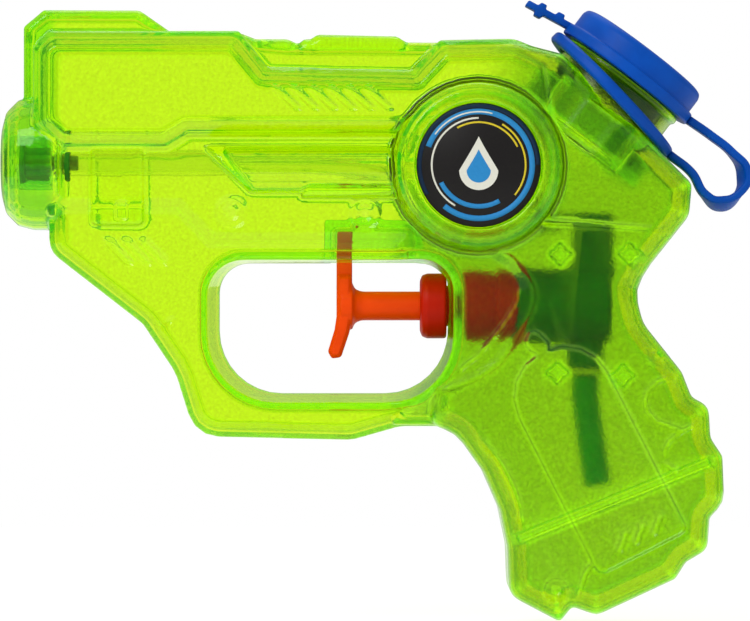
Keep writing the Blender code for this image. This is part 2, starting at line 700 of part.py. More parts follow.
def shell(name, side):
    """One half of the body: a stepped moulded tub with the trigger pocket, seats and posts on its inside."""
    body = layers(side, 0.0)
    join(
        body,
        plate(SIDE_PAD, edged(FRAME_HALF + PAD_RISE, 0.3), side),
        plate(BARREL_BLOCK, edged(BLOCK_HALF, 0.8), side),
    )
    badge_seat = rod(
        BADGE_RADIUS + FIT, BEZEL_HALF - BADGE_RECESS, FAR, (BADGE_X, 0, BADGE_Z), (0, side, 0), ROUND
    )
    panel = plate(
        GRIP_PANEL,
        [(GRIP_HALF - PANEL_DEPTH, PANEL_RIM), (GRIP_HALF, 0.0), (GRIP_HALF + 1.0, 0.0)],
        side,
    )
    cut(
        body,
        badge_seat,
        panel,
        recess(CAPSULE, GRIP_HALF, PANEL_DEPTH, side),
        recess(PAD_ARCH, FRAME_HALF + PAD_RISE, SLOT_DEPTH, side),
        recess(REAR_STEP, REAR_HALF, PANEL_DEPTH, side),
    )
    for (first_x, first_z), (run, rise), width, count, (step_x, step_z), half in SLOTS:
        for i in range(count):
            x = first_x + i * step_x
            z = first_z + i * step_z
            outline = [(x, z, 0), (x + width, z, 0), (x + width + run, z + rise, 0), (x + run, z + rise, 0)]
            cut(body, recess(outline, half, SLOT_DEPTH, side))
    for line, half in LINES:
        cut(body, recess(stripe(line, LINE_WIDTH), half, LINE_DEPTH, side))
    for x, z, radius, half in MARKS:
        for share in (1, 2):
            spot = (half - share * MARK_DEPTH, half + 1.0, (x, 0, z), (0, side, 0), 16)
            cut(body, rod(radius / share, *spot))

    tank = layers(side, WALL)
    cut(tank, guard_tunnel(side, WALL))
    cut(body, tank)
    opening = guard_tunnel(side, 0.0)

    pocket = block(
        (POCKET_FRONT_X - WALL, side * -1.0, GUARD_TOP_Z + WALL / 2),
        (POCKET_REAR_X + WALL, side * (POCKET_HALF + WALL), POCKET_TOP_Z + WALL),
    )
    nozzle_seat = rod(
        NOZZLE_FLANGE_RADIUS + FIT + NOZZLE_SEAT_WALL,
        NOSE + WALL / 2,
        NOSE + MUZZLE_DEPTH,
        (0, 0, BORE_Z),
        ALONG_X,
    )
    collar = rod(
        NECK_COLLAR_RADIUS,
        -NECK_FOOT_DEPTH - WALL - FIT,
        -COLLAR_TOP_DEPTH,
        (CAP_X, 0, CAP_Z),
        CAP_AXIS,
        ROUND,
    )
    gland_boss = rod(
        GLAND_HEAD_RADIUS + FIT + WALL,
        GUARD_REAR_X - GLAND_HEAD_LENGTH,
        GUARD_REAR_X + WALL,
        (0, 0, PUMP_Z),
        ALONG_X,
    )
    rib_levels = [(GRIP_HALF - WALL - RIB_HEIGHT, 0.0), (GRIP_HALF - WALL / 2, 0.0)]
    rib = plate(stripe(RIB, RIB_WIDTH), rib_levels, side)
    join(body, pocket, nozzle_seat, collar, gland_boss, rib)
    for x, z, half in POSTS:
        join(body, post(x, z, half, side))

    cut(
        body,
        opening,
        block(
            (POCKET_FRONT_X, -POCKET_HALF, GUARD_TOP_Z - WALL),
            (POCKET_REAR_X, POCKET_HALF, POCKET_TOP_Z),
        ),
        rod(NOZZLE_FLANGE_RADIUS + FIT, NOSE + NOZZLE_SETBACK, NOSE + FAR / 2, (0, 0, BORE_Z), ALONG_X),
        rod(SPRAY_HOLE_RADIUS, NOSE - 1.0, NOSE + FAR / 2, (0, 0, BORE_Z), ALONG_X),
        rod(GLAND_HEAD_RADIUS + FIT, GUARD_REAR_X - FAR / 4, GUARD_REAR_X, (0, 0, PUMP_Z), ALONG_X),
        rod(GLAND_NECK_RADIUS + FIT, GUARD_REAR_X - 1.0, GUARD_REAR_X + WALL + 2.0, (0, 0, PUMP_Z), ALONG_X),
        rod(PUMP_RADIUS + FIT, GUARD_REAR_X + WALL, PUMP_REAR_X, (0, 0, PUMP_Z), ALONG_X),
        rod(NECK_RADIUS + FIT, -NECK_FOOT_DEPTH - FIT, FAR / 2, (CAP_X, 0, CAP_Z), CAP_AXIS, ROUND),
        rod(NECK_RADIUS - NECK_WALL, -NECK_FOOT_DEPTH - 2 * WALL, 0.0, (CAP_X, 0, CAP_Z), CAP_AXIS, ROUND),
        block((NOSE - FAR, -side * FAR, -FAR), (FAR, side * SEAM, 2 * FAR)),
    )
    return finish(body, name, LIME)


shell("left_shell", -1)
shell("right_shell", 1)


def badge(name, side):
    """Round printed disc in the recess of the bezel."""
    start = BEZEL_HALF - BADGE_RECESS + FIT
    disc = rod(BADGE_RADIUS, start, start + BADGE_THICKNESS, (BADGE_X, 0, BADGE_Z), (0, side, 0), ROUND)
    finish(disc, name, PRINT)


badge("left_badge", -1)
badge("right_badge", 1)


# Trigger: a finger blade with a tongue that runs in the pocket, and a rod that ends in the piston.
# The gland's neck stops the piston, so that end sets the rest place of the piston and of the spring.
NECK_END_X = GUARD_REAR_X + WALL + FIT + 1.6
PISTON_X = NECK_END_X + FIT
PISTON_RADIUS = CYLINDER_RADIUS - 0.4
PISTON_GROOVE = (1.0, 2.6)
PISTON_GROOVE_RADIUS = 3.7
BLADE_REAR_X = BLADE_X + BLADE_THICKNESS
BLADE = [
    (BLADE_X, GUARD_TOP_Z - 2.6, 1),
    (BLADE_X, PUMP_Z - 3.8, 10),
    (BLADE_X - 1.9, PUMP_Z - 10.0, 1),
    (BLADE_X - 1.0, PUMP_Z - 11.5, 0.6),
    (BLADE_X + 1.0, PUMP_Z - 11.2, 0.8),
    (BLADE_REAR_X, PUMP_Z - 4.0, 12),
    (BLADE_REAR_X, GUARD_TOP_Z - 2.6, 1),
]
BLADE_EDGE = 0.8
ROD_FILLET = 2.0


def trigger():
    levels = [
        (-BLADE_HALF, BLADE_EDGE),
        (-BLADE_HALF + BLADE_EDGE, 0.0),
        (BLADE_HALF - BLADE_EDGE, 0.0),
        (BLADE_HALF, BLADE_EDGE),
    ]
    blade = plate(BLADE, levels)
    tongue = block(
        (BLADE_X, -TONGUE_HALF, GUARD_TOP_Z - 6.0), (BLADE_REAR_X, TONGUE_HALF, TONGUE_TOP_Z)
    )
    start, end = PISTON_GROOVE
    stem = [
        (0, BLADE_X + 1.0),
        (ROD_RADIUS + ROD_FILLET, BLADE_X + 1.0),
        (ROD_RADIUS + ROD_FILLET, BLADE_REAR_X),
        (ROD_RADIUS + 0.3 * ROD_FILLET, BLADE_REAR_X + 0.3 * ROD_FILLET),
        (ROD_RADIUS, BLADE_REAR_X + ROD_FILLET),
        (ROD_RADIUS, PISTON_X),
        (PISTON_RADIUS, PISTON_X),
        (PISTON_RADIUS, PISTON_X + start),
        (PISTON_GROOVE_RADIUS, PISTON_X + start),
        (PISTON_GROOVE_RADIUS, PISTON_X + end),
        (PISTON_RADIUS, PISTON_X + end),
        (PISTON_RADIUS, PISTON_X + PISTON_LENGTH),
        (0, PISTON_X + PISTON_LENGTH),
    ]
    join(blade, tongue, turned(stem, (0, 0, PUMP_Z), ALONG_X, closed=False))
    finish(blade, "trigger", ORANGE, (BLADE_X, 0, PUMP_Z))


trigger()


def ring(name, material, inner, outer, start, end, axis_point, axis, steps=20, edge=0.0):
    """Round ring with its outer edges taken off by edge."""
    profile = [(inner, end), (inner, start), (outer - edge, start)]
    if edge:
        profile += [(outer, start + edge), (outer, end - edge)]
    profile.append((outer - edge, end))
    finish(turned(profile, axis_point, axis, steps), name, material, axis_point)


ring(
    "piston_seal",
    RUBBER,
    PISTON_GROOVE_RADIUS + FIT,
    CYLINDER_RADIUS - 0.2,
    PISTON_X + PISTON_GROOVE[0] + 0.2,
    PISTON_X + PISTON_GROOVE[1] - 0.2,
    (0, 0, PUMP_Z),
    ALONG_X,
    edge=0.4,
)

# Gland: a nut whose neck goes through the wall of the tank, and a sleeve that it draws up from inside.
HEAD_END_X = GUARD_REAR_X - FIT
HEAD_X = HEAD_END_X - GLAND_HEAD_LENGTH
SLEEVE_X = GUARD_REAR_X + WALL + FIT
SLEEVE_END_X = SLEEVE_X + GLAND_SLEEVE_LENGTH
SLEEVE_STEP_X = SLEEVE_X + 8.3
SPIGOT_END_X = SLEEVE_END_X + 2.0
SPIGOT_OUTER_RADIUS = CYLINDER_RADIUS + 1.3
ROD_BORE_RADIUS = ROD_RADIUS + FIT
GLAND_GROOVE = (HEAD_X + 1.8, HEAD_X + 4.0)
GLAND_GROOVE_RADIUS = 5.2


def gland():
    nut = turned(
        [
            (ROD_BORE_RADIUS, HEAD_X),
            (GLAND_HEAD_RADIUS - 1.6, HEAD_X),
            (GLAND_HEAD_RADIUS - 0.4, HEAD_X + 0.5),
            (GLAND_HEAD_RADIUS, HEAD_X + 1.6),
            (GLAND_HEAD_RADIUS, HEAD_END_X - 0.4),
            (GLAND_HEAD_RADIUS - 0.4, HEAD_END_X),
            (GLAND_NECK_RADIUS, HEAD_END_X),
            (GLAND_NECK_RADIUS, NECK_END_X),
            (ROD_BORE_RADIUS, NECK_END_X),
            (ROD_BORE_RADIUS, GLAND_GROOVE[1]),
            (GLAND_GROOVE_RADIUS, GLAND_GROOVE[1]),
            (GLAND_GROOVE_RADIUS, GLAND_GROOVE[0]),
            (ROD_BORE_RADIUS, GLAND_GROOVE[0]),
        ],
        (0, 0, PUMP_Z),
        ALONG_X,
    )
    finish(nut, "gland_nut", RED)
    sleeve = turned(
        [
            (GLAND_NECK_RADIUS + FIT, SLEEVE_X),
            (GLAND_SLEEVE_RADIUS - 1.4, SLEEVE_X),
            (GLAND_SLEEVE_RADIUS - 0.2, SLEEVE_X + 1.6),
            (GLAND_SLEEVE_RADIUS, SLEEVE_X + 3.6),
            (GLAND_SLEEVE_RADIUS - 0.5, SLEEVE_STEP_X - 0.8),
            (GLAND_SLEEVE_RADIUS - 1.2, SLEEVE_STEP_X),
            (GLAND_SLEEVE_RADIUS, SLEEVE_STEP_X + 0.3),
            (GLAND_SLEEVE_RADIUS, SLEEVE_END_X),
            (SPIGOT_OUTER_RADIUS, SLEEVE_END_X),
            (SPIGOT_OUTER_RADIUS, SPIGOT_END_X),
            (CYLINDER_RADIUS, SPIGOT_END_X),
            (CYLINDER_RADIUS, NECK_END_X),
            (GLAND_NECK_RADIUS + FIT, NECK_END_X),
        ],
        (0, 0, PUMP_Z),
        ALONG_X,
    )
    finish(sleeve, "gland_sleeve", RED)


gland()
ring(
    "rod_seal",
    RUBBER,
    ROD_BORE_RADIUS,
    GLAND_GROOVE_RADIUS - FIT,
    GLAND_GROOVE[0] + FIT,
    GLAND_GROOVE[1] - FIT,
    (0, 0, PUMP_Z),
    ALONG_X,
    edge=0.4,
)

# Pump: a cylinder with an outlet column above and an inlet column below, each holding a ball valve.
PUMP_X = SLEEVE_END_X + FIT
END_PLUG_LENGTH = 2.4
END_PLUG_X = PUMP_REAR_X - END_PLUG_LENGTH
OUTLET_SEAT_Z = PUMP_Z + PUMP_RADIUS + 0.7
INLET_SEAT_Z = INLET_BOTTOM_Z + 2.0
INLET_CHAMBER_TOP_Z = PUMP_Z - CYLINDER_RADIUS - 0.8
BALL_REST = math.sqrt(VALVE_BALL_RADIUS**2 - VALVE_SEAT_RADIUS**2) + 0.2
COLUMN_COLLAR = 0.4


def pump_body():
    outside = turned(
        [
            (SPIGOT_OUTER_RADIUS + FIT, PUMP_X),
            (PUMP_RADIUS, PUMP_X),
            (PUMP_RADIUS, PUMP_REAR_X - 1.0),
            (PUMP_RADIUS - 1.0, PUMP_REAR_X),
            (CYLINDER_RADIUS, PUMP_REAR_X),
            (CYLINDER_RADIUS, SPIGOT_END_X + FIT),
            (SPIGOT_OUTER_RADIUS + FIT, SPIGOT_END_X + FIT),
        ],
        (0, 0, PUMP_Z),
        ALONG_X,
        28,
    )
    outlet = turned(
        [
            (0, PUMP_Z + CYLINDER_RADIUS + 0.5),
            (OUTLET_RADIUS + COLUMN_COLLAR, PUMP_Z + CYLINDER_RADIUS + 0.5),
            (OUTLET_RADIUS + COLUMN_COLLAR, PUMP_Z + PUMP_RADIUS + 0.4),
            (OUTLET_RADIUS, PUMP_Z + PUMP_RADIUS + 0.8),
            (OUTLET_RADIUS, OUTLET_TOP_Z),
            (0, OUTLET_TOP_Z),
        ],
        (OUTLET_X, 0, 0),
        ALONG_Z,
        closed=False,
    )
    inlet = rod(INLET_RADIUS, INLET_BOTTOM_Z, PUMP_Z - CYLINDER_RADIUS - 0.5, (INLET_X, 0, 0), ALONG_Z)
    join(outside, outlet, inlet)
    cut(
        outside,
        rod(VALVE_CHAMBER_RADIUS, OUTLET_SEAT_Z, OUTLET_TOP_Z + 1.0, (OUTLET_X, 0, 0), ALONG_Z),
        rod(VALVE_SEAT_RADIUS, PUMP_Z, OUTLET_TOP_Z, (OUTLET_X, 0, 0), ALONG_Z, 12),
        rod(VALVE_CHAMBER_RADIUS, INLET_BOTTOM_Z - 1.0, INLET_CHAMBER_TOP_Z, (INLET_X, 0, 0), ALONG_Z),
        rod(VALVE_SEAT_RADIUS, INLET_BOTTOM_Z, PUMP_Z, (INLET_X, 0, 0), ALONG_Z, 12),
    )
    finish(outside, "pump_body", BLUE)


pump_body()
finish(
    turned(
        [
            (0, END_PLUG_X),
            (CYLINDER_RADIUS - 0.6 - FIT, END_PLUG_X),
            (CYLINDER_RADIUS - FIT, END_PLUG_X + 0.6),
            (CYLINDER_RADIUS - FIT, PUMP_REAR_X - 0.4),
            (0, PUMP_REAR_X - 0.4),
        ],
        (0, 0, PUMP_Z),
        ALONG_X,
        closed=False,
    ),
    "pump_end_plug",
    NATURAL,
)


def ball(name, x, z):
    shape = bmesh.new()
    bmesh.ops.create_uvsphere(shape, u_segments=12, v_segments=8, radius=VALVE_BALL_RADIUS)
    bmesh.ops.translate(shape, vec=(x, 0, z), verts=shape.verts)
    finish(from_bmesh(name, shape), name, NATURAL, (x, 0, z))


OUTLET_BALL_Z = OUTLET_SEAT_Z + BALL_REST
INLET_BALL_Z = INLET_SEAT_Z + BALL_REST
ball("outlet_ball", OUTLET_X, OUTLET_BALL_Z)
ball("inlet_ball", INLET_X, INLET_BALL_Z)


def swept(points, radius, resolution):
    """Round tube or wire along (x, y, z) points, as a solid with closed ends."""
    curve = bpy.data.curves.new("route", "CURVE")
    curve.dimensions = "3D"
    curve.bevel_depth = radius * MM
    curve.bevel_resolution = resolution
    curve.use_fill_caps = True
    spline = curve.splines.new("POLY")
    spline.points.add(len(points) - 1)
    for target, point in zip(spline.points, points):
        target.co = (*(MM * Vector(point)), 1.0)
    return solid_of(curve)


def solid_of(curve):
    """Mesh object of a bevelled curve, with its caps welded on."""
    route = bpy.data.objects.new("route", curve)
    CUTTERS.objects.link(route)
    graph = bpy.context.evaluated_depsgraph_get()
    mesh = bpy.data.meshes.new_from_object(route.evaluated_get(graph))
    bpy.data.objects.remove(route, do_unlink=True)
    shape = bmesh.new()
    shape.from_mesh(mesh)
    bmesh.ops.remove_doubles(shape, verts=shape.verts, dist=SMALL * MM / 5)
    bmesh.ops.recalc_face_normals(shape, faces=shape.faces)
    shape.to_mesh(mesh)
    shape.free()
    return link("route", mesh, None, CUTTERS)


def smooth_route(points, step):
    """Points about step apart on a smooth curve through the given ones."""
    route = []
    vectors = [Vector(point) for point in points]
    padded = [2 * vectors[0] - vectors[1], *vectors, 2 * vectors[-1] - vectors[-2]]
    for before, start, end, after in zip(padded, padded[1:], padded[2:], padded[3:]):
        count = max(1, round((end - start).length / step))
        for i in range(count):
            s = i / count
            a = 2 * start
            b = (end - before) * s
            c = (2 * before - 5 * start + 4 * end - after) * s**2
            d = (3 * start - before - 3 * end + after) * s**3
            route.append((a + b + c + d) / 2)
    return [*route, vectors[-1]]


SPRING_POINTS = 8


def coil(name, radius, wire, turns, start, end, place):
    """Compression spring as one wire; prints the least gap between neighbouring turns."""
    count = turns * SPRING_POINTS
    low, high = start + wire / 2, end - wire / 2
    points = []
    for i in range(count + 1):
        angle = 2 * math.pi * i / SPRING_POINTS
        along = low + (high - low) * i / count
        points.append(place(radius * math.cos(angle), radius * math.sin(angle), along))
    apart = min(
        (Vector(a) - Vector(b)).length
        for i, a in enumerate(points)
        for b in points[i + SPRING_POINTS - 2 :]
    )
    print(f"{name}: least gap between turns {apart - wire:.2f} mm")
    finish(swept(points, wire / 2, 1), name, STEEL, place(0, 0, end))


coil(
    "return_spring",
    SPRING_RADIUS,
    SPRING_WIRE,
    SPRING_TURNS,
    PISTON_X + PISTON_LENGTH + FIT,
    END_PLUG_X - FIT,
    lambda across, up, along: (along, across, PUMP_Z + up),
)

# Outlet elbow on top of the column, with the valve's light spring under it.
ELBOW_Z = OUTLET_TOP_Z + FIT
ELBOW_HEIGHT = 2 * SPIGOT_RADIUS + 0.4
ELBOW_BORE_Z = ELBOW_Z + ELBOW_HEIGHT / 2
ELBOW_END_X = OUTLET_X - OUTLET_RADIUS - SPIGOT_LENGTH - 1.6
VALVE_SPRING_RADIUS = 1.3
VALVE_SPRING_WIRE = 0.4
coil(
    "outlet_spring",
    VALVE_SPRING_RADIUS,
    VALVE_SPRING_WIRE,
    4,
    OUTLET_BALL_Z + math.sqrt(VALVE_BALL_RADIUS**2 - VALVE_SPRING_RADIUS**2) + FIT,
    ELBOW_Z - FIT,
    lambda across, up, along: (OUTLET_X + across, up, along),
)


def elbow():
    body = turned(
        [
            (0, ELBOW_Z),
            (OUTLET_RADIUS, ELBOW_Z),
            (OUTLET_RADIUS, ELBOW_Z + ELBOW_HEIGHT - 0.6),
            (OUTLET_RADIUS - 0.6, ELBOW_Z + ELBOW_HEIGHT),
            (0, ELBOW_Z + ELBOW_HEIGHT),
        ],
        (OUTLET_X, 0, 0),
        ALONG_Z,
        closed=False,
    )
    join(body, rod(SPIGOT_RADIUS, ELBOW_END_X, OUTLET_X, (0, 0, ELBOW_BORE_Z), ALONG_X, 14))
    cut(
        body,
        rod(SPIGOT_BORE_RADIUS, ELBOW_END_X - 1.0, OUTLET_X, (0, 0, ELBOW_BORE_Z), ALONG_X, 10),
        rod(SPIGOT_BORE_RADIUS, ELBOW_Z - 1.0, ELBOW_BORE_Z, (OUTLET_X, 0, 0), ALONG_Z, 10),
    )
    finish(body, "outlet_elbow", BLUE)


elbow()

# Nozzle insert behind the spray hole, with a spigot for the hose.
NOZZLE_X = NOSE + NOZZLE_SETBACK + FIT
NOZZLE_REAR_X = NOZZLE_X + NOZZLE_LENGTH
NOZZLE_FLANGE = 2.2
FLUTES = 8
FLUTE_RADIUS = 0.6


def nozzle():
    body = turned(
        [
            (NOZZLE_ORIFICE_RADIUS, NOZZLE_X),
            (NOZZLE_FLANGE_RADIUS, NOZZLE_X),
            (NOZZLE_FLANGE_RADIUS, NOZZLE_X + NOZZLE_FLANGE),
            (NOZZLE_RADIUS, NOZZLE_X + NOZZLE_FLANGE),
            (NOZZLE_RADIUS, NOZZLE_REAR_X),
            (SPIGOT_RADIUS, NOZZLE_REAR_X),
            (SPIGOT_RADIUS, NOZZLE_REAR_X + SPIGOT_LENGTH),
            (NOZZLE_ORIFICE_RADIUS, NOZZLE_REAR_X + SPIGOT_LENGTH),
        ],
        (0, 0, BORE_Z),
        ALONG_X,
    )
    for i in range(FLUTES):
        angle = 2 * math.pi * i / FLUTES
        place = (0, NOZZLE_RADIUS * math.cos(angle), BORE_Z + NOZZLE_RADIUS * math.sin(angle))
        cut(body, rod(FLUTE_RADIUS, NOZZLE_X + NOZZLE_FLANGE, NOZZLE_REAR_X + 1.0, place, ALONG_X, 6))
    finish(body, "nozzle_insert", BLUE)


nozzle()

# Hose from the elbow to the nozzle, pushed over both spigots.
HOSE_RADIUS = HOSE_BORE_RADIUS + HOSE_WALL
HOSE_GRIP = SPIGOT_LENGTH - 1.0
HOSE_ROUTE = [
    (ELBOW_END_X + HOSE_GRIP, 0, ELBOW_BORE_Z),
    (ELBOW_END_X - 2.0, 0, ELBOW_BORE_Z),
    (-26.0, 0, 47.4),
    (-40.0, 0, 53.4),
    (-56.0, 0, 57.8),
    (-68.0, 0, BORE_Z),
    (NOZZLE_REAR_X + SPIGOT_LENGTH + 3.0, 0, BORE_Z),
    (NOZZLE_REAR_X + SPIGOT_LENGTH - HOSE_GRIP, 0, BORE_Z),
]


def hollow_tube(name, points, radius, bore, material):
    """Tube along the points with its bore cut right through both ends."""
    body = swept(points, radius, 2)
    first, last = Vector(points[0]), Vector(points[-1])
    inner = [first + (first - Vector(points[1])).normalized(), *points]
    inner.append(last + (last - Vector(points[-2])).normalized())
    cut(body, swept(inner, bore, 2))
    finish(body, name, material)


hollow_tube("outlet_hose", smooth_route(HOSE_ROUTE, 6.0), HOSE_RADIUS, HOSE_BORE_RADIUS, CLEAR)
CLIP_X = NOZZLE_REAR_X + 2.4
CLIP_WIDTH = 1.8
CLIP_WALL = 0.9
ring(
    "hose_clip",
    BLUE,
    HOSE_RADIUS + FIT,
    HOSE_RADIUS + FIT + CLIP_WALL,
    CLIP_X,
    CLIP_X + CLIP_WIDTH,
    (0, 0, BORE_Z),
    ALONG_X,
    20,
)

# Inlet: a seat pressed into the column from below, and the dip tube on its spigot.
SEAT_FLANGE = 1.0
SEAT_SPIGOT = 4.0
SEAT_BORE_RADIUS = 0.9
SEAT_FLANGE_Z = INLET_BOTTOM_Z - FIT - SEAT_FLANGE
DIP_RADIUS = HOSE_BORE_RADIUS + DIP_WALL
finish(
    turned(
        [
            (VALVE_SEAT_RADIUS, INLET_SEAT_Z),
            (SEAT_BORE_RADIUS, INLET_SEAT_Z - 0.4),
            (SEAT_BORE_RADIUS, SEAT_FLANGE_Z - SEAT_SPIGOT),
            (SPIGOT_RADIUS, SEAT_FLANGE_Z - SEAT_SPIGOT),
            (SPIGOT_RADIUS, SEAT_FLANGE_Z),
            (INLET_RADIUS, SEAT_FLANGE_Z),
            (INLET_RADIUS, SEAT_FLANGE_Z + SEAT_FLANGE),
            (VALVE_CHAMBER_RADIUS - FIT, SEAT_FLANGE_Z + SEAT_FLANGE),
            (VALVE_CHAMBER_RADIUS - FIT, INLET_SEAT_Z),
        ],
        (INLET_X, 0, 0),
        ALONG_Z,
        16,
    ),
    "inlet_seat",
    NATURAL,
)
DIP_TOP_Z = SEAT_FLANGE_Z - FIT
DIP_ROUTE = [
    (INLET_X, 0, DIP_TOP_Z),
    (INLET_X, 0, DIP_TOP_Z - SEAT_SPIGOT - 1.0),
    (INLET_X + 1.0, 0, -1.0),
    (DIP_END[0], 0, DIP_END[1]),
]
hollow_tube("dip_tube", smooth_route(DIP_ROUTE, 6.0), DIP_RADIUS, HOSE_BORE_RADIUS, BLUE)

# Filler: neck in the collar of the shells, plug cap, and the ring and strap that keep the cap.
CAP_TOP = (CAP_X, 0, CAP_Z)
NECK_BEAD = 0.6
NECK_BORE_RADIUS = NECK_RADIUS - NECK_WALL
PLUG_RADIUS = NECK_BORE_RADIUS - FIT
FLANGE_DEPTH = CAP_HEIGHT + CAP_FLANGE
finish(
    turned(
        [
            (NECK_BORE_RADIUS, -NECK_TOP_DEPTH),
            (NECK_RADIUS + NECK_BEAD, -NECK_TOP_DEPTH),
            (NECK_RADIUS + NECK_BEAD, -NECK_TOP_DEPTH - 1.0),
            (NECK_RADIUS, -NECK_TOP_DEPTH - 1.6),
            (NECK_RADIUS, -NECK_FOOT_DEPTH),
            (NECK_BORE_RADIUS, -NECK_FOOT_DEPTH),
        ],
        CAP_TOP,
        CAP_AXIS,
        ROUND,
    ),
    "filler_neck",
    LIME,
)
TAB_HALF = STRAP_WIDTH / 2
TAB_REACH = 26.9
TAB_THICKNESS = 1.5
TAB_DROOP = 1.7


def tab_corner(across, lift):
    """Corner of the pull tab's outline: across from the axis, lift above the tab's middle line."""
    middle = CAP_HEIGHT + 0.6 + TAB_DROOP * (across - CAP_RADIUS) / (TAB_REACH - CAP_RADIUS)
    return (*cap_point(middle - lift, -across), 0)


def filler_cap():
    body = turned(
        [
            (0, 0),
            (CAP_RADIUS - 1.6, 0),
            (CAP_RADIUS - 0.5, -0.4),
            (CAP_RADIUS, -1.4),
            (CAP_RADIUS, -CAP_HEIGHT),
            (CAP_FLANGE_RADIUS, -CAP_HEIGHT),
            (CAP_FLANGE_RADIUS, -FLANGE_DEPTH),
            (PLUG_RADIUS, -FLANGE_DEPTH),
            (PLUG_RADIUS, -FLANGE_DEPTH - CAP_PLUG_LENGTH + 0.8),
            (PLUG_RADIUS - 0.5, -FLANGE_DEPTH - CAP_PLUG_LENGTH),
            (PLUG_RADIUS - CAP_WALL, -FLANGE_DEPTH - CAP_PLUG_LENGTH),
            (PLUG_RADIUS - CAP_WALL, -CAP_WALL),
            (0, -CAP_WALL),
        ],
        CAP_TOP,
        CAP_AXIS,
        ROUND,
        closed=False,
    )
    half = TAB_THICKNESS / 2
    nub = half + 0.9
    outline = [
        (CAP_RADIUS, half),
        (18.4, half),
        (18.6, nub),
        (20.2, nub),
        (20.4, half),
        (22.8, half),
        (23.0, nub),
        (24.4, nub),
        (24.6, half),
        (TAB_REACH, half),
        (TAB_REACH, -half),
        (24.4, -half),
        (24.2, -nub),
        (22.6, -nub),
        (22.4, -half),
        (CAP_RADIUS, -half),
    ]
    corners = [tab_corner(across, lift) for across, lift in outline]
    join(body, plate(corners, [(-TAB_HALF, 0.0), (TAB_HALF, 0.0)]))
    finish(body, "filler_cap", BLUE, CAP_TOP)


filler_cap()
RING_LEAN = NECK_LEAN + TETHER_RING_TILT
RING_AXIS = Vector((math.sin(RING_LEAN), 0, math.cos(RING_LEAN)))
RING_X, RING_Z = cap_point(TETHER_RING_DROP)
RING_BORE_RADIUS = NECK_RADIUS + NECK_BEAD + 2 * FIT
ring(
    "tether_ring",
    BLUE,
    RING_BORE_RADIUS,
    TETHER_RING_RADIUS,
    -TETHER_RING_THICKNESS / 2,
    TETHER_RING_THICKNESS / 2,
    (RING_X, 0, RING_Z),
    RING_AXIS,
    ROUND,
    edge=0.5,
)


STRAP_LEAN = 0.9
STRAP_LEAN_WAY = Vector((0.6, 0, 0.8))
STRAP_LEANS_FROM = 0.22
STRAP_LEANS_TO = 0.78
STRAP_EDGE = 0.5
STRAP_SECTION = [
    (STRAP_WIDTH / 2 - STRAP_EDGE, STRAP_THICKNESS / 2),
    (STRAP_WIDTH / 2, STRAP_THICKNESS / 2 - STRAP_EDGE),
    (STRAP_WIDTH / 2, STRAP_EDGE - STRAP_THICKNESS / 2),
    (STRAP_WIDTH / 2 - STRAP_EDGE, -STRAP_THICKNESS / 2),
    (STRAP_EDGE - STRAP_WIDTH / 2, -STRAP_THICKNESS / 2),
    (-STRAP_WIDTH / 2, STRAP_EDGE - STRAP_THICKNESS / 2),
    (-STRAP_WIDTH / 2, STRAP_THICKNESS / 2 - STRAP_EDGE),
    (STRAP_EDGE - STRAP_WIDTH / 2, STRAP_THICKNESS / 2),
]


def strap():
    """Flat tether across the seam: edge-on at the cap and the ring, leaning over in its loop."""
    root = Vector(cap_point(FLANGE_DEPTH - CAP_FLANGE / 2, CAP_FLANGE_RADIUS + FIT))
    aside = Vector((math.cos(RING_LEAN), -math.sin(RING_LEAN)))
    tail = Vector((RING_X, RING_Z)) + (TETHER_RING_RADIUS + FIT) * aside
    route = [
        (root.x, 0, root.y),
        (26.6, 0, 64.2),
        (31.0, 0, 60.6),
        (33.7, 0, 56.4),
        (32.6, 0, 51.8),
        (28.4, 0, 49.4),
        (24.9, 0, 51.7),
        (22.3, 0, 56.1),
        (tail.x, 0, tail.y),
    ]
    points = smooth_route(route, 2.2)
    last = len(points) - 1
    shape = bmesh.new()
    rings = []
    for i, point in enumerate(points):
        along = (points[min(i + 1, last)] - points[max(i - 1, 0)]).normalized()
        share = (i / last - STRAP_LEANS_FROM) / (STRAP_LEANS_TO - STRAP_LEANS_FROM)
        lean = STRAP_LEAN * math.sin(math.pi * min(max(share, 0.0), 1.0)) ** 2
        wide = (Vector((0, 1, 0)) - lean * STRAP_LEAN_WAY).normalized()
        thick = along.cross(wide).normalized()
        wide = thick.cross(along)
        ring_points = []
        for across, up in STRAP_SECTION:
            ring_points.append(shape.verts.new(point + across * wide + up * thick))
        rings.append(ring_points)
    count = len(STRAP_SECTION)
    for near, far in zip(rings, rings[1:]):
        for i in range(count):
            j = (i + 1) % count
            shape.faces.new((near[i], near[j], far[j], far[i]))
    shape.faces.new(rings[0])
    shape.faces.new(rings[-1])
    finish(from_bmesh("strap", shape), "tether_strap", BLUE, points[-1])


strap()
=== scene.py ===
import math

import bmesh
import bpy
from mathutils import Matrix, Vector


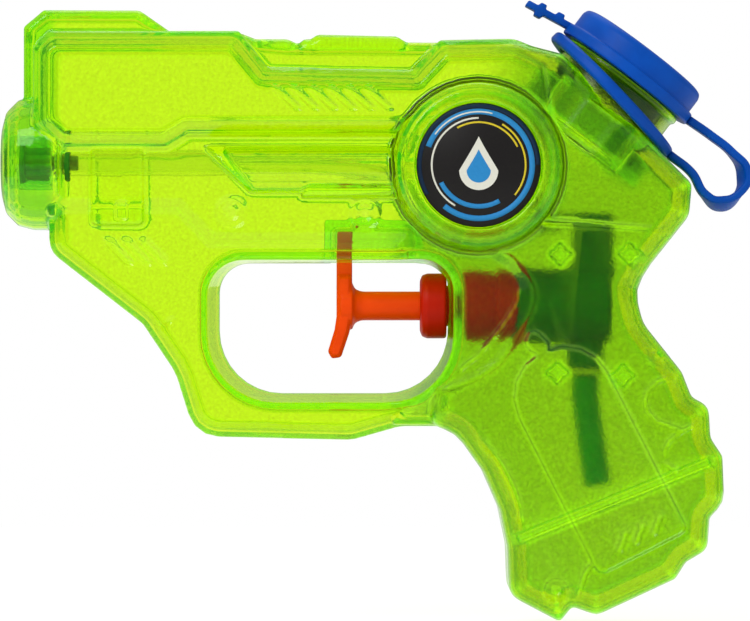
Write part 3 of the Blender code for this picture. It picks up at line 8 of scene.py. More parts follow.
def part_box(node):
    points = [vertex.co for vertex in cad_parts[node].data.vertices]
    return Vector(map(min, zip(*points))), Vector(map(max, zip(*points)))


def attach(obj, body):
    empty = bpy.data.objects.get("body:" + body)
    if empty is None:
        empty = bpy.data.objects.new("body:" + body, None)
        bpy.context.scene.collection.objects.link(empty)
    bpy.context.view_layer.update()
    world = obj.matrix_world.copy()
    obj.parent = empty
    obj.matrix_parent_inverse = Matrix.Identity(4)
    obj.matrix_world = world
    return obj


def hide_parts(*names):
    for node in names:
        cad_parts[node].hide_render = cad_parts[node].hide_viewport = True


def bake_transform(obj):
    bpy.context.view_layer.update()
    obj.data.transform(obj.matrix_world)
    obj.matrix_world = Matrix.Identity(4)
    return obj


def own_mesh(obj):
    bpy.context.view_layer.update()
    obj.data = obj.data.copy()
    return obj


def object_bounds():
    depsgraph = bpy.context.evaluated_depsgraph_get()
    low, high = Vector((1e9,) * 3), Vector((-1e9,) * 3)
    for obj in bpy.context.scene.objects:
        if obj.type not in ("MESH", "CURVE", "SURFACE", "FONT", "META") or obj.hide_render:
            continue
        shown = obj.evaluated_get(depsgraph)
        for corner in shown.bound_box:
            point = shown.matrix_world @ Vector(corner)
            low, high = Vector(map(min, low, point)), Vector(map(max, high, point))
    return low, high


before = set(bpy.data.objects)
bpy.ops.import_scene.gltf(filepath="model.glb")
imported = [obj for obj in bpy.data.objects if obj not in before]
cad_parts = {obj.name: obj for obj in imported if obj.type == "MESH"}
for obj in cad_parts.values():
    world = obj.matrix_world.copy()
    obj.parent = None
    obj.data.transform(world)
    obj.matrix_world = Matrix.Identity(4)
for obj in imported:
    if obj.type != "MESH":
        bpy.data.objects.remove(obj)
cad_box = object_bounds()
scene = bpy.context.scene


# Half shells of the tank, injection moulded in clear lime styrene about 1.9 mm thick and welded at the seam.
# Moulding rounds every edge a little and leaves a glossy skin that is faintly wavy, more so on the inside.
def linear(code):
    """Linear RGBA of an sRGB hex colour."""
    channels = [int(code[i : i + 2], 16) / 255 for i in (1, 3, 5)]
    return (*(c / 12.92 if c <= 0.04045 else ((c + 0.055) / 1.055) ** 2.4 for c in channels), 1.0)


def add(tree, kind, inputs, **settings):
    """Node of that kind with its settings, and its inputs set to values or linked to other nodes' outputs.

    A Mix node takes numbers at inputs 2 and 3 and gives one at output 0; colours go in at 6 and 7 and come out at 2.
    """
    node = tree.nodes.new("ShaderNode" + kind)
    for name, value in settings.items():
        setattr(node, name, value)
    for socket, value in inputs.items():
        if isinstance(value, bpy.types.NodeSocket):
            tree.links.new(value, node.inputs[socket])
        else:
            node.inputs[socket].default_value = value
    return node


def blank_material(name):
    """New material with an empty node tree, and that tree."""
    material = bpy.data.materials.new(name)
    material.use_nodes = True
    material.node_tree.nodes.clear()
    return material, material.node_tree


def settle(piece, material, body, slot, *nodes):
    """Gives a finished piece its material and its body, and hides the CAD nodes that it stands for; slot is not
    used.
    """
    piece.data.materials.append(material)
    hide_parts(*nodes)
    if body:
        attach(piece, body)
    return piece


def link_mesh(name, shape):
    """Smooth-shaded object in the scene from a bmesh, which is freed."""
    mesh = bpy.data.meshes.new(name)
    shape.to_mesh(mesh)
    shape.free()
    mesh.shade_smooth()
    piece = bpy.data.objects.new(name, mesh)
    scene.collection.objects.link(piece)
    return piece


mm = 0.001
weld = 0.001 * mm


def moulded(name, node, quad, rounds=3, flat_angle=0.0):
    """Copy of a CAD node with the soft edges of a moulding: a skin of quads of that size, laid on and smoothed.

    Faces that meet within flat_angle degrees are merged again.
    """
    shape = bmesh.new()
    shape.from_mesh(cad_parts[node].data)
    bmesh.ops.remove_doubles(shape, verts=shape.verts, dist=weld)
    piece = link_mesh(name, shape)
    form = bpy.data.objects.new(name + "_form", piece.data)
    scene.collection.objects.link(form)
    remesh = piece.modifiers.new("skin", "REMESH")
    remesh.mode = "VOXEL"
    remesh.voxel_size = quad
    lay = piece.modifiers.new("laid_on", "SHRINKWRAP")
    lay.target = form
    soften = piece.modifiers.new("rounding", "SMOOTH")
    soften.factor = 0.5
    soften.iterations = rounds
    if flat_angle:
        flats = piece.modifiers.new("merged_flats", "DECIMATE")
        flats.decimate_type = "DISSOLVE"
        flats.angle_limit = math.radians(flat_angle)
    mesh = bpy.data.meshes.new_from_object(piece.evaluated_get(bpy.context.evaluated_depsgraph_get()))
    mesh.materials.clear()
    mesh.shade_smooth()
    piece.modifiers.clear()
    piece.data = mesh
    bpy.data.objects.remove(form)
    return piece


# Clear styrene, moulded: pale lime where thin, painted greener along its edges, glossy, slightly wavy and faintly
# mottled.
# From the badge back the mould was textured, so the skin is finely pebbled there; it is also tinted a deeper green
# there.
# The field's border leans back towards the top. Pebbles of 0.6 mm are coarser than real ones, so that they show.
# Every edge and moulded line gets a painted greener tint and a faint painted glow, standing in for light that the
# dyed wall gathers and lets out there.
wave_size, pebble_size = 6 * mm, 0.6 * mm
field_start, field_end, field_lean = -0.048, -0.03, -0.022
lean_foot, lean_head = 0.042, 0.08
muzzle_back, muzzle_front = -0.1165, -0.1185
cap_top, cap_axis = Vector((0.012, 0, 0.0828)), Vector((0.604599, 0, 0.79653))
collar_reach, collar_fade = 0.0125, 0.0145
collar_foot, collar_head = 0.055, 0.06
lime_styrene, tree = blank_material("clear_lime_styrene")
lime_styrene.cycles.emission_sampling = "NONE"
# Masks for the textured field, the bulb at the muzzle and sharp bends, where the painted edge tint and glow go.
measure = add(tree, "TexCoord", {})
place, faces = measure.outputs["Object"], measure.outputs["Normal"]
spot = add(tree, "SeparateXYZ", {0: place})
rise = add(
    tree,
    "MapRange",
    {"Value": spot.outputs["Z"], "From Min": lean_foot, "From Max": lean_head, "To Min": 0.0, "To Max": field_lean},
)
slant = add(tree, "Math", {0: spot.outputs["X"], 1: rise.outputs[0]}, operation="ADD")
pebbled = add(
    tree,
    "MapRange",
    {"Value": slant.outputs[0], "From Min": field_start, "From Max": field_end},
    interpolation_type="SMOOTHSTEP",
).outputs[0]
bulb = add(tree, "MapRange", {"Value": spot.outputs["X"], "From Min": muzzle_back, "From Max": muzzle_front})
bend = add(tree, "Math", {0: add(tree, "NewGeometry", {}).outputs["Pointiness"], 1: 0.5}, operation="SUBTRACT")
bend = add(tree, "Math", {0: bend.outputs[0]}, operation="ABSOLUTE")
edge = add(tree, "MapRange", {"Value": bend.outputs[0], "From Min": 0.01, "From Max": 0.045})
# Waves of the whole skin, and pebbles that are deeper and duller in the textured field.
wave = add(tree, "TexNoise", {"Vector": place, "Scale": 1 / wave_size, "Detail": 2.0})
grain = add(tree, "TexNoise", {"Vector": place, "Scale": 1 / pebble_size, "Detail": 2.0})
ripple = add(tree, "Bump", {"Height": wave.outputs[0], "Strength": 0.2, "Distance": 0.0003})
depth = add(tree, "MapRange", {"Value": pebbled, "To Min": 0.06, "To Max": 0.5})
relief = add(
    tree,
    "Bump",
    {"Height": grain.outputs[0], "Strength": depth.outputs[0], "Distance": 0.0001, "Normal": ripple.outputs[0]},
)
gloss = add(tree, "MapRange", {"Value": pebbled, "To Min": 0.05, "To Max": 0.2})
# Tint of the skin: pale or deep by field, then the bulb, a painted greener edge on the bends, the collar of the neck
# and painted shade on the sloping faces.
tint = add(tree, "ValToRGB", {"Fac": pebbled})
tint.color_ramp.elements[0].color = linear("#E8FC97")
tint.color_ramp.elements[1].color = linear("#BEE227")
tint = add(tree, "Mix", {0: bulb.outputs[0], 6: tint.outputs[0], 7: linear("#C5F759")}, data_type="RGBA")
# Painted edge glow: the bends are tinted a greener lime.
tint = add(tree, "Mix", {0: edge.outputs[0], 6: tint.outputs[2], 7: linear("#D4F669")}, data_type="RGBA")
across = add(tree, "VectorMath", {0: place, 1: cap_top}, operation="SUBTRACT")
across = add(tree, "VectorMath", {0: across.outputs[0], 1: cap_axis}, operation="CROSS_PRODUCT")
across = add(tree, "VectorMath", {0: across.outputs[0]}, operation="LENGTH")
collar = add(tree, "MapRange", {"Value": across.outputs[1], "From Min": collar_fade, "From Max": collar_reach})
high = add(tree, "MapRange", {"Value": spot.outputs["Z"], "From Min": collar_foot, "From Max": collar_head})
collar = add(tree, "Math", {0: collar.outputs[0], 1: high.outputs[0]}, operation="MULTIPLY")
tint = add(tree, "Mix", {0: collar.outputs[0], 6: tint.outputs[2], 7: linear("#DDED59")}, data_type="RGBA")
# Painted shade: faces that turn away from the broad sides are darkened, as front light would leave them.
tilt = add(tree, "SeparateXYZ", {0: faces})
tilt = add(tree, "Math", {0: tilt.outputs["Y"]}, operation="ABSOLUTE")
painted_slope_shade = add(tree, "MapRange", {"Value": tilt.outputs[0], "From Min": 0.97, "From Max": 0.75})
tint = add(
    tree,
    "Mix",
    {0: painted_slope_shade.outputs[0], 6: tint.outputs[2], 7: linear("#F3F395")},
    data_type="RGBA",
    blend_type="MULTIPLY",
)
# Mottle from the pebbles, and a faint painted glow along moulded lines, which is too weak to light anything else.
line = add(tree, "MapRange", {"Value": bend.outputs[0], "From Min": 0.007, "From Max": 0.03})
speckle = add(
    tree,
    "MapRange",
    {"Value": grain.outputs[0], "From Min": 0.35, "From Max": 0.65, "To Min": 0.82, "To Max": 1.1},
)
mottle = add(tree, "MapRange", {"Value": pebbled, "To Min": 0.4, "To Max": 1.0})
speckle = add(tree, "Mix", {0: mottle.outputs[0], 2: 1.0, 3: speckle.outputs[0]})
tint = add(
    tree,
    "Mix",
    {0: 1.0, 6: tint.outputs[2], 7: speckle.outputs[0]},
    data_type="RGBA",
    blend_type="MULTIPLY",
)
glow = add(tree, "MapRange", {"Value": pebbled, "To Min": 0.06, "To Max": 0.14})
glow = add(tree, "Math", {0: line.outputs[0], 1: glow.outputs[0]}, operation="MULTIPLY")
skin = add(
    tree,
    "BsdfPrincipled",
    {
        "Base Color": tint.outputs[2],
        "Roughness": gloss.outputs[0],
        "IOR": 1.55,
        "Specular Tint": linear("#AAAAAA"),
        "Transmission Weight": 1.0,
        "Emission Color": linear("#AAF500"),
        "Emission Strength": glow.outputs[0],
        "Normal": relief.outputs[0],
    },
)
# Light from the lamps goes straight through to the pieces inside, and the wall absorbs what is seen through it.
lamp_light = add(tree, "BsdfTransparent", {"Color": linear("#F3FDED")})
ray = add(tree, "LightPath", {})
wall = add(tree, "MixShader", {0: ray.outputs["Is Shadow Ray"], 1: skin.outputs[0], 2: lamp_light.outputs[0]})
inside = add(tree, "VolumeAbsorption", {"Color": linear("#F9FE00"), "Density": 600.0})
add(tree, "OutputMaterial", {"Surface": wall.outputs[0], "Volume": inside.outputs[0]})

shell_quad, shell_flat_angle = 0.00055, 0.3
for half, node in (("left_half", "left_shell"), ("right_half", "right_shell")):
    shell = moulded(half, node, shell_quad, flat_angle=shell_flat_angle)
    settle(shell, lime_styrene, "housing", "clear_lime", node)


# Filler neck, a short clear tube with a bead that the plug cap snaps over, pressed into the collar of the shells.
# It is moulded from the same styrene.
x_way, y_way, z_way = Vector((1, 0, 0)), Vector((0, 1, 0)), Vector((0, 0, 1))


def softened(profile, radius, closed):
    """Profile whose corners are rounded off by about that radius, between points that keep the sides flat."""
    curve_limit, hold, hold_limit = 0.4, 1.5, 0.48
    points = [Vector(point) for point in profile]
    if closed:
        points = [points[-1], *points, points[0]]
    soft = []
    for before, corner, after in zip(points, points[1:], points[2:]):
        back, ahead = before - corner, after - corner
        start = corner + back.normalized() * min(radius, curve_limit * back.length)
        end = corner + ahead.normalized() * min(radius, curve_limit * ahead.length)
        soft.append(corner + back.normalized() * min(hold * radius, hold_limit * back.length))
        for share in (0.0, 0.25, 0.5, 0.75, 1.0):
            soft.append(start.lerp(corner, share).lerp(corner.lerp(end, share), share))
        soft.append(corner + ahead.normalized() * min(hold * radius, hold_limit * ahead.length))
    return soft if closed else [points[0], *soft, points[-1]]


def turned(profile, radius, centre, axis, closed=True, steps=72):
    """Bmesh turned from a profile of (radius, height) points in millimetres about an axis through centre."""
    shape = bmesh.new()
    line = [shape.verts.new((mm * r, 0, mm * h)) for r, h in softened(profile, radius, closed)]
    edges = [shape.edges.new(pair) for pair in zip(line, line[1:])]
    if closed:
        edges.append(shape.edges.new((line[-1], line[0])))
    bmesh.ops.spin(shape, geom=line + edges, axis=z_way, angle=2 * math.pi, steps=steps, use_merge=True)
    bmesh.ops.remove_doubles(shape, verts=shape.verts, dist=weld)
    lean = z_way.rotation_difference(Vector(axis)).to_matrix()
    bmesh.ops.rotate(shape, matrix=lean, verts=shape.verts)
    bmesh.ops.translate(shape, vec=centre, verts=shape.verts)
    bmesh.ops.recalc_face_normals(shape, faces=shape.faces)
    return shape


neck_profile = [(12.4, -7.8), (14.7, -7.8), (14.7, -8.8), (14.1, -9.4), (14.1, -23.4), (12.4, -23.4)]
neck = link_mesh("clear_neck", turned(neck_profile, 0.4, cap_top, cap_axis))
settle(neck, lime_styrene, "housing", "clear_lime", "filler_neck")


# Pump: a cylinder with two valve columns, its outlet elbow and the clip that holds the hose on.
# All three are moulded in blue polyethylene that reads dark green through the lime walls.
def moulded_plastic(name, colour, shade, roughness, specular=0.25):
    """Opaque moulded plastic: even colour with faint flow marks, a fine satin grain and slightly uneven gloss.

    The grain of 0.6 mm is drawn coarser than the real one, so that it shows.
    """
    flow_size, satin_size, gloss_spread = 7 * mm, 0.6 * mm, 0.06
    material, tree = blank_material(name)
    place = add(tree, "TexCoord", {}).outputs["Object"]
    flow = add(tree, "TexNoise", {"Vector": place, "Scale": 1 / flow_size, "Detail": 3.0, "Distortion": 0.6})
    tint = add(tree, "ValToRGB", {"Fac": flow.outputs[0]})
    tint.color_ramp.elements[0].position = 0.3
    tint.color_ramp.elements[0].color = linear(shade)
    tint.color_ramp.elements[1].position = 0.65
    tint.color_ramp.elements[1].color = linear(colour)
    satin = add(tree, "TexNoise", {"Vector": place, "Scale": 1 / satin_size, "Detail": 3.0})
    relief = add(tree, "Bump", {"Height": satin.outputs[0], "Strength": 0.12, "Distance": 0.0001})
    gloss = add(
        tree,
        "MapRange",
        {
            "Value": flow.outputs[0],
            "From Min": 0.25,
            "From Max": 0.75,
            "To Min": roughness - gloss_spread,
            "To Max": roughness + gloss_spread,
        },
    )
    skin = add(
        tree,
        "BsdfPrincipled",
        {
            "Base Color": tint.outputs[0],
            "Roughness": gloss.outputs[0],
            "IOR": 1.5,
            "Specular IOR Level": specular,
            "Normal": relief.outputs[0],
        },
    )
    add(tree, "OutputMaterial", {"Surface": skin.outputs[0]})
    return material


pump_blue = moulded_plastic("pump_blue_polyethylene", "#0E74B8", "#0A66A6", 0.4, specular=0.15)
for piece_name, node, quad in (
    ("pump_cylinder", "pump_body", 0.0003),
    ("pump_elbow", "outlet_elbow", 0.0002),
    ("spring_hose_clip", "hose_clip", 0.0002),
):
    settle(moulded(piece_name, node, quad), pump_blue, "housing", "blue_plastic", node)

# Suction tube down into the grip, extruded in a thinner, paler blue polyethylene.
# Its upper end is pushed on the valve seat, and its lower end hangs free in the tank.
tube_quad = 0.0003
tube_blue = moulded_plastic("pale_blue_polyethylene", "#1E9ACB", "#188CBC", 0.4, specular=0.15)
settle(moulded("suction_tube", "dip_tube", tube_quad), tube_blue, "housing", "blue_plastic", "dip_tube")

# Nozzle behind the spray hole, moulded in half-clear blue polyethylene with flutes that lead the water in.
# The spigot at its back carries the hose.
spray_height = 0.0583
flutes, flute_depth, flute_foot, flange_back = 12, 0.17, 0.0034, -0.1232
nozzle_profile = [
    (0.7, -125.5), (4.35, -125.5), (4.35, -123.3), (3.7, -123.3), (3.7, -117.8), (1.6, -117.8), (1.6, -111.8),
    (0.7, -111.8),
]
shape = turned(nozzle_profile, 0.25, (0, 0, spray_height), x_way, steps=96)
for vertex in shape.verts:
    up = vertex.co.z - spray_height
    reach = math.hypot(vertex.co.y, up)
    if flute_foot < reach and flange_back < vertex.co.x:
        flute = 1 - flute_depth * max(0.0, math.cos(flutes * math.atan2(vertex.co.y, up)))
        vertex.co.y *= flute
        vertex.co.z = spray_height + up * flute
# Half-clear polyethylene, moulded: milky in soft clouds, letting some light through, with a dull gloss.
milk_size = 2 * mm
pale_blue, tree = blank_material("half_clear_blue_polyethylene")
place = add(tree, "TexCoord", {}).outputs["Object"]
milk = add(tree, "TexNoise", {"Vector": place, "Scale": 1 / milk_size, "Detail": 2.0})
tint = add(tree, "ValToRGB", {"Fac": milk.outputs[0]})
tint.color_ramp.elements[0].color = linear("#4F9CC4")
tint.color_ramp.elements[1].color = linear("#6FB2D4")
relief = add(tree, "Bump", {"Height": milk.outputs[0], "Strength": 0.1, "Distance": 0.0001})
skin = add(
    tree,
    "BsdfPrincipled",
    {
        "Base Color": tint.outputs[0],
        "Roughness": 0.3,
        "IOR": 1.5,
        "Transmission Weight": 0.6,
        "Normal": relief.outputs[0],
    },
)
add(tree, "OutputMaterial", {"Surface": skin.outputs[0]})
settle(link_mesh("fluted_nozzle", shape), pale_blue, "housing", "blue_plastic", "nozzle_insert")

# Valve seat and end plug, moulded in natural nylon, milky white and satin.
# The plug closes the cylinder and carries the spring; the seat takes the suction ball.
nylon_quad = 0.0002
natural_nylon = moulded_plastic("natural_nylon", "#D9DCCF", "#CDD1C2", 0.4)
for piece_name, node in (("cylinder_plug", "pump_end_plug"), ("suction_seat", "inlet_seat")):
    settle(moulded(piece_name, node, nylon_quad), natural_nylon, "housing", "natural_nylon", node)


# Valve balls, moulded in nylon in two halves, with the fine flash line of the mould round the middle.
# Each lies loose in its column.
ball_radius, flash_height = 0.002, 0.00003


def valve_ball(name, node):
    """Ball in the middle of a CAD node's box, spun from a half turn of points from pole to pole."""
    low, high = (Vector(corner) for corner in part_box(node))
    middle = (low + high) / 2
    arc_steps = 24
    shape = bmesh.new()
    half_turn = [shape.verts.new((0, 0, -ball_radius))]
    for step in range(1, arc_steps + 1):
        angle = math.pi * (step / arc_steps - 0.5)
        bulge = ball_radius + (flash_height if step == arc_steps // 2 else 0.0)
        half_turn.append(shape.verts.new((bulge * math.cos(angle), 0, bulge * math.sin(angle))))
    edges = [shape.edges.new(pair) for pair in zip(half_turn, half_turn[1:])]
    bmesh.ops.spin(shape, geom=half_turn + edges, axis=z_way, angle=2 * math.pi, steps=40, use_merge=True)
    bmesh.ops.remove_doubles(shape, verts=shape.verts, dist=weld)
    bmesh.ops.recalc_face_normals(shape, faces=shape.faces)
    bmesh.ops.translate(shape, vec=middle, verts=shape.verts)
    return link_mesh(name, shape)


settle(valve_ball("suction_ball", "inlet_ball"), natural_nylon, "inlet_ball", "natural_nylon", "inlet_ball")
settle(valve_ball("delivery_ball", "outlet_ball"), natural_nylon, "outlet_ball", "natural_nylon", "outlet_ball")

# Seal rings of black rubber on the piston and round the rod, moulded and lightly dusted.
# They show only as dark lines through the walls.
seal_quad = 0.00015
# Nitrile rubber, moulded: matt black with greyer patches of dust.
dust_size = 1.2 * mm
rubber, tree = blank_material("black_nitrile_rubber")
place = add(tree, "TexCoord", {}).outputs["Object"]
dust = add(tree, "TexNoise", {"Vector": place, "Scale": 1 / dust_size, "Detail": 4.0})
tint = add(tree, "ValToRGB", {"Fac": dust.outputs[0]})
tint.color_ramp.elements[0].color = linear("#141414")
tint.color_ramp.elements[1].color = linear("#2C2B29")
relief = add(tree, "Bump", {"Height": dust.outputs[0], "Strength": 0.2, "Distance": 0.0001})
skin = add(
    tree,
    "BsdfPrincipled",
    {"Base Color": tint.outputs[0], "Roughness": 0.65, "IOR": 1.52, "Normal": relief.outputs[0]},
)
add(tree, "OutputMaterial", {"Surface": skin.outputs[0]})
settle(moulded("piston_ring", "piston_seal", seal_quad), rubber, "trigger", "black_rubber", "piston_seal")
settle(moulded("rod_ring", "rod_seal", seal_quad), rubber, "housing", "black_rubber", "rod_seal")


# Springs, wound from drawn steel wire: the return spring behind the piston and the light one over the delivery ball.
# Each is held between two pieces of the pump.
def wound(name, centre, across, along, coil_radius, wire, length, turns):
    """Compression spring from centre along an axis, with one spin of the wire's round section."""
    steps_in_turn = 28
    shape = bmesh.new()
    section = bmesh.ops.create_circle(shape, segments=10, radius=wire / 2)["verts"]
    around = along.cross(across)
    turn = Matrix((across, along, around)).transposed()
    bmesh.ops.rotate(shape, verts=section, matrix=turn)
    bmesh.ops.translate(shape, verts=section, vec=centre + coil_radius * across + wire / 2 * along)
    steps = turns * steps_in_turn
    bmesh.ops.spin(
        shape,
        geom=section + list(shape.edges),
        cent=centre,
        axis=along,
        dvec=along * (length - wire) / steps,
        angle=2 * math.pi * turns,
        steps=steps,
    )
    bmesh.ops.holes_fill(shape, edges=[e for e in shape.edges if e.is_boundary])
    bmesh.ops.recalc_face_normals(shape, faces=shape.faces)
    return link_mesh(name, shape)


# Spring steel, drawn: grey metal with small brighter and duller streaks.
streak_size = 0.4 * mm
wire_steel, tree = blank_material("drawn_spring_steel")
place = add(tree, "TexCoord", {}).outputs["Object"]
streaks = add(tree, "TexNoise", {"Vector": place, "Scale": 1 / streak_size, "Detail": 4.0})
tint = add(tree, "ValToRGB", {"Fac": streaks.outputs[0]})
tint.color_ramp.elements[0].color = linear("#9C9C99")
tint.color_ramp.elements[1].color = linear("#C9C9C6")
gloss = add(tree, "MapRange", {"Value": streaks.outputs[0], "To Min": 0.18, "To Max": 0.36})
skin = add(
    tree, "BsdfPrincipled", {"Base Color": tint.outputs[0], "Metallic": 1.0, "Roughness": gloss.outputs[0]}
)
add(tree, "OutputMaterial", {"Surface": skin.outputs[0]})
low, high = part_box("return_spring")
axis_z = (low[2] + high[2]) / 2
push_back = wound(
    "push_back_spring",
    Vector((low[0], 0, axis_z)),
    across=y_way,
    along=x_way,
    coil_radius=0.0039,
    wire=0.0007,
    length=high[0] - low[0],
    turns=9,
)
settle(push_back, wire_steel, "housing", "spring_steel", "return_spring")
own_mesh(push_back)
low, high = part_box("outlet_spring")
axis_x = (low[0] + high[0]) / 2
valve_spring = wound(
    "delivery_spring",
    Vector((axis_x, 0, low[2])),
    across=x_way,
    along=z_way,
    coil_radius=0.0013,
    wire=0.0004,
    length=high[2] - low[2],
    turns=4,
)
settle(valve_spring, wire_steel, "housing", "spring_steel", "outlet_spring")
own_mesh(valve_spring)

# Gland, a nut and a sleeve that clamp the tank wall round the trigger rod, moulded in red polypropylene.
# The nut sits outside in the finger opening; the sleeve in the tank is painted a lighter red to make up for the lime
# wall, which darkens it.
red_plastic = moulded_plastic("red_polypropylene", "#C81E02", "#BA1802", 0.38, specular=0.1)
rod_line = Vector((0, 0, 0.0271))
nut_profile = [
    (3.45, -37.2), (5.5, -37.2), (6.7, -36.7), (7.1, -35.6), (7.1, -31.8), (6.7, -31.4), (4.4, -31.4), (4.4, -27.3),
    (3.45, -27.3), (3.45, -33.2), (5.2, -33.2), (5.2, -35.4), (3.45, -35.4),
]
nut = link_mesh("gland_head", turned(nut_profile, 0.3, rod_line, x_way))
settle(nut, red_plastic, "housing", "red_plastic", "gland_nut")
sleeve_profile = [
    (4.7, -28.9), (6.5, -28.9), (7.7, -27.3), (7.9, -25.3), (7.4, -21.4), (6.7, -20.6), (7.9, -20.3), (7.9, -15.5),
    (6.6, -15.5), (6.6, -13.5), (5.3, -13.5), (5.3, -27.3), (4.7, -27.3),
]
sleeve = link_mesh("gland_bush", turned(sleeve_profile, 0.3, rod_line, x_way))
# Painted light: a lighter copy of the gland's red for the sleeve, which is seen through the lime wall.
painted_lighter_red = moulded_plastic("red_polypropylene_painted_lighter", "#F01400", "#E41000", 0.4, specular=0.1)
settle(sleeve, painted_lighter_red, "housing", "red_plastic", "gland_sleeve")

# Trigger: blade, guide tongue, rod and piston in one moulding of orange polypropylene, satin with soft edges.
# The rod is turned on over the moulding's middle, so that it is truly round.
orange_plastic = moulded_plastic("orange_polypropylene", "#FA4A00", "#F04400", 0.4, specular=0.1)
blade_quad, blade_rounds = 0.00022, 4
blade = moulded("trigger_blade", "trigger", blade_quad, blade_rounds)
rod_profile = [(0, -52.0), (5.15, -52.0), (3.75, -51.4), (3.15, -50.0), (3.15, -27.2), (0, -27.2)]
shape = turned(rod_profile, 0.8, rod_line, x_way, closed=False)
shape.from_mesh(blade.data)
shape.to_mesh(blade.data)
shape.free()
blade.data.shade_smooth()
settle(blade, orange_plastic, "trigger", "orange_plastic", "trigger")


# Hose from the pump's elbow to the nozzle, extruded in clear soft vinyl.
# It is pushed over the spigots at both ends and lies in an easy curve in the seam plane.
def bent_mesh(route, resolution, radius=0.0):
    """Mesh of a smooth curve through (x, z) points of the seam plane: a line, or a tube where it has a radius."""
    curve = bpy.data.curves.new("bent_line", "CURVE")
    curve.dimensions = "3D"
    curve.bevel_depth = radius
    curve.bevel_resolution = 6
    curve.resolution_u = resolution
    spline = curve.splines.new("BEZIER")
    spline.bezier_points.add(len(route) - 1)
    for point, (x, z) in zip(spline.bezier_points, route):
        point.co = (x, 0, z)
        point.handle_left_type = point.handle_right_type = "AUTO"
    maker = bpy.data.objects.new("bent_line", curve)
    scene.collection.objects.link(maker)
    mesh = bpy.data.meshes.new_from_object(maker.evaluated_get(bpy.context.evaluated_depsgraph_get()))
    bpy.data.objects.remove(maker)
    return mesh


hose_radius, hose_wall = 0.0028, 0.0009
hose_route = [
    (-0.0065, 0.0455), (-0.0135, 0.0455), (-0.026, 0.0474), (-0.040, 0.0534), (-0.056, 0.0578),
    (-0.068, spray_height), (-0.1088, spray_height), (-0.1168, spray_height),
]
shape = bmesh.new()
shape.from_mesh(bent_mesh(hose_route, 8, hose_radius))
bmesh.ops.recalc_face_normals(shape, faces=shape.faces)
bmesh.ops.solidify(shape, geom=list(shape.faces), thickness=hose_wall)
# Soft vinyl, extruded: colourless and clear, glossy with hazier patches.
haze_size = 3 * mm
clear_vinyl, tree = blank_material("clear_soft_vinyl")
place = add(tree, "TexCoord", {}).outputs["Object"]
haze = add(tree, "TexNoise", {"Vector": place, "Scale": 1 / haze_size, "Detail": 2.0})
gloss = add(tree, "MapRange", {"Value": haze.outputs[0], "To Min": 0.05, "To Max": 0.2})
relief = add(tree, "Bump", {"Height": haze.outputs[0], "Strength": 0.1, "Distance": 0.0002})
skin = add(
    tree,
    "BsdfPrincipled",
    {
        "Base Color": linear("#F4F8F2"),
        "Roughness": gloss.outputs[0],
        "IOR": 1.53,
        "Transmission Weight": 1.0,
        "Normal": relief.outputs[0],
    },
)
add(tree, "OutputMaterial", {"Surface": skin.outputs[0]})
settle(link_mesh("clear_hose", shape), clear_vinyl, "housing", "clear_vinyl", "outlet_hose")

# Plug cap with its pull tab, moulded in soft blue polyethylene, satin with faint flow marks.
# The tether ring that sits round the neck is the same moulding.
soft_blue = moulded_plastic("blue_polyethylene", "#0050B8", "#0048AA", 0.42, specular=0.12)
cap_radius = 15.75
cap_profile = [
    (0, 0), (14.15, 0), (15.25, -0.4), (cap_radius, -1.4), (cap_radius, -5), (16.8, -5), (16.8, -7.5), (12.1, -7.5),
    (12.1, -12.2), (11.6, -13), (10.6, -13), (10.6, -1.5), (0, -1.5),
]
shape = turned(cap_profile, 0.5, cap_top, cap_axis, closed=False)
tab_width, tab_depth, tab_droop, tab_edge = 0.0054, 5.6, 0.1525, 0.0003
tab_outline = [
    (15.2, 0.75), (18.4, 0.75), (18.6, 1.65), (20.2, 1.65), (20.4, 0.75), (22.8, 0.75), (23.0, 1.65), (24.4, 1.65),
    (24.6, 0.75), (26.9, 0.75), (26.9, -0.75), (24.4, -0.75), (24.2, -1.65), (22.6, -1.65), (22.4, -0.75),
    (15.2, -0.75),
]
aside = Vector((cap_axis.z, 0, -cap_axis.x))
tab_side = cap_top - tab_width / 2 * y_way
corners = []
for across, lift in tab_outline:
    depth = tab_depth + tab_droop * (across - cap_radius) - lift
    corners.append(shape.verts.new(tab_side - mm * depth * cap_axis - mm * across * aside))
tab_face = shape.faces.new(corners)
rest = set(shape.edges) - set(tab_face.edges)
far_side = bmesh.ops.extrude_face_region(shape, geom=[tab_face], use_keep_orig=True)["geom"]
far_corners = [part for part in far_side if isinstance(part, bmesh.types.BMVert)]
bmesh.ops.translate(shape, vec=tab_width * y_way, verts=far_corners)
tab_edges = [edge for edge in shape.edges if edge not in rest]
bmesh.ops.bevel(
    shape, geom=tab_edges, offset=tab_edge, affect="EDGES", segments=2, profile=0.5, material=-1, clamp_overlap=True
)
bmesh.ops.recalc_face_normals(shape, faces=shape.faces)
settle(link_mesh("plug_cap", shape), soft_blue, "filler_cap", "blue_plastic", "filler_cap")
ring_profile = [(15.3, 1.3), (15.3, -1.3), (17.7, -1.3), (18.2, -0.8), (18.2, 0.8), (17.7, 1.3)]
ring_lean, ring_drop = math.radians(46.2), 0.012
ring_axis = (math.sin(ring_lean), 0, math.cos(ring_lean))
ring = link_mesh("neck_ring", turned(ring_profile, 0.3, cap_top - ring_drop * cap_axis, ring_axis))
settle(ring, soft_blue, "housing", "blue_plastic", "tether_ring")

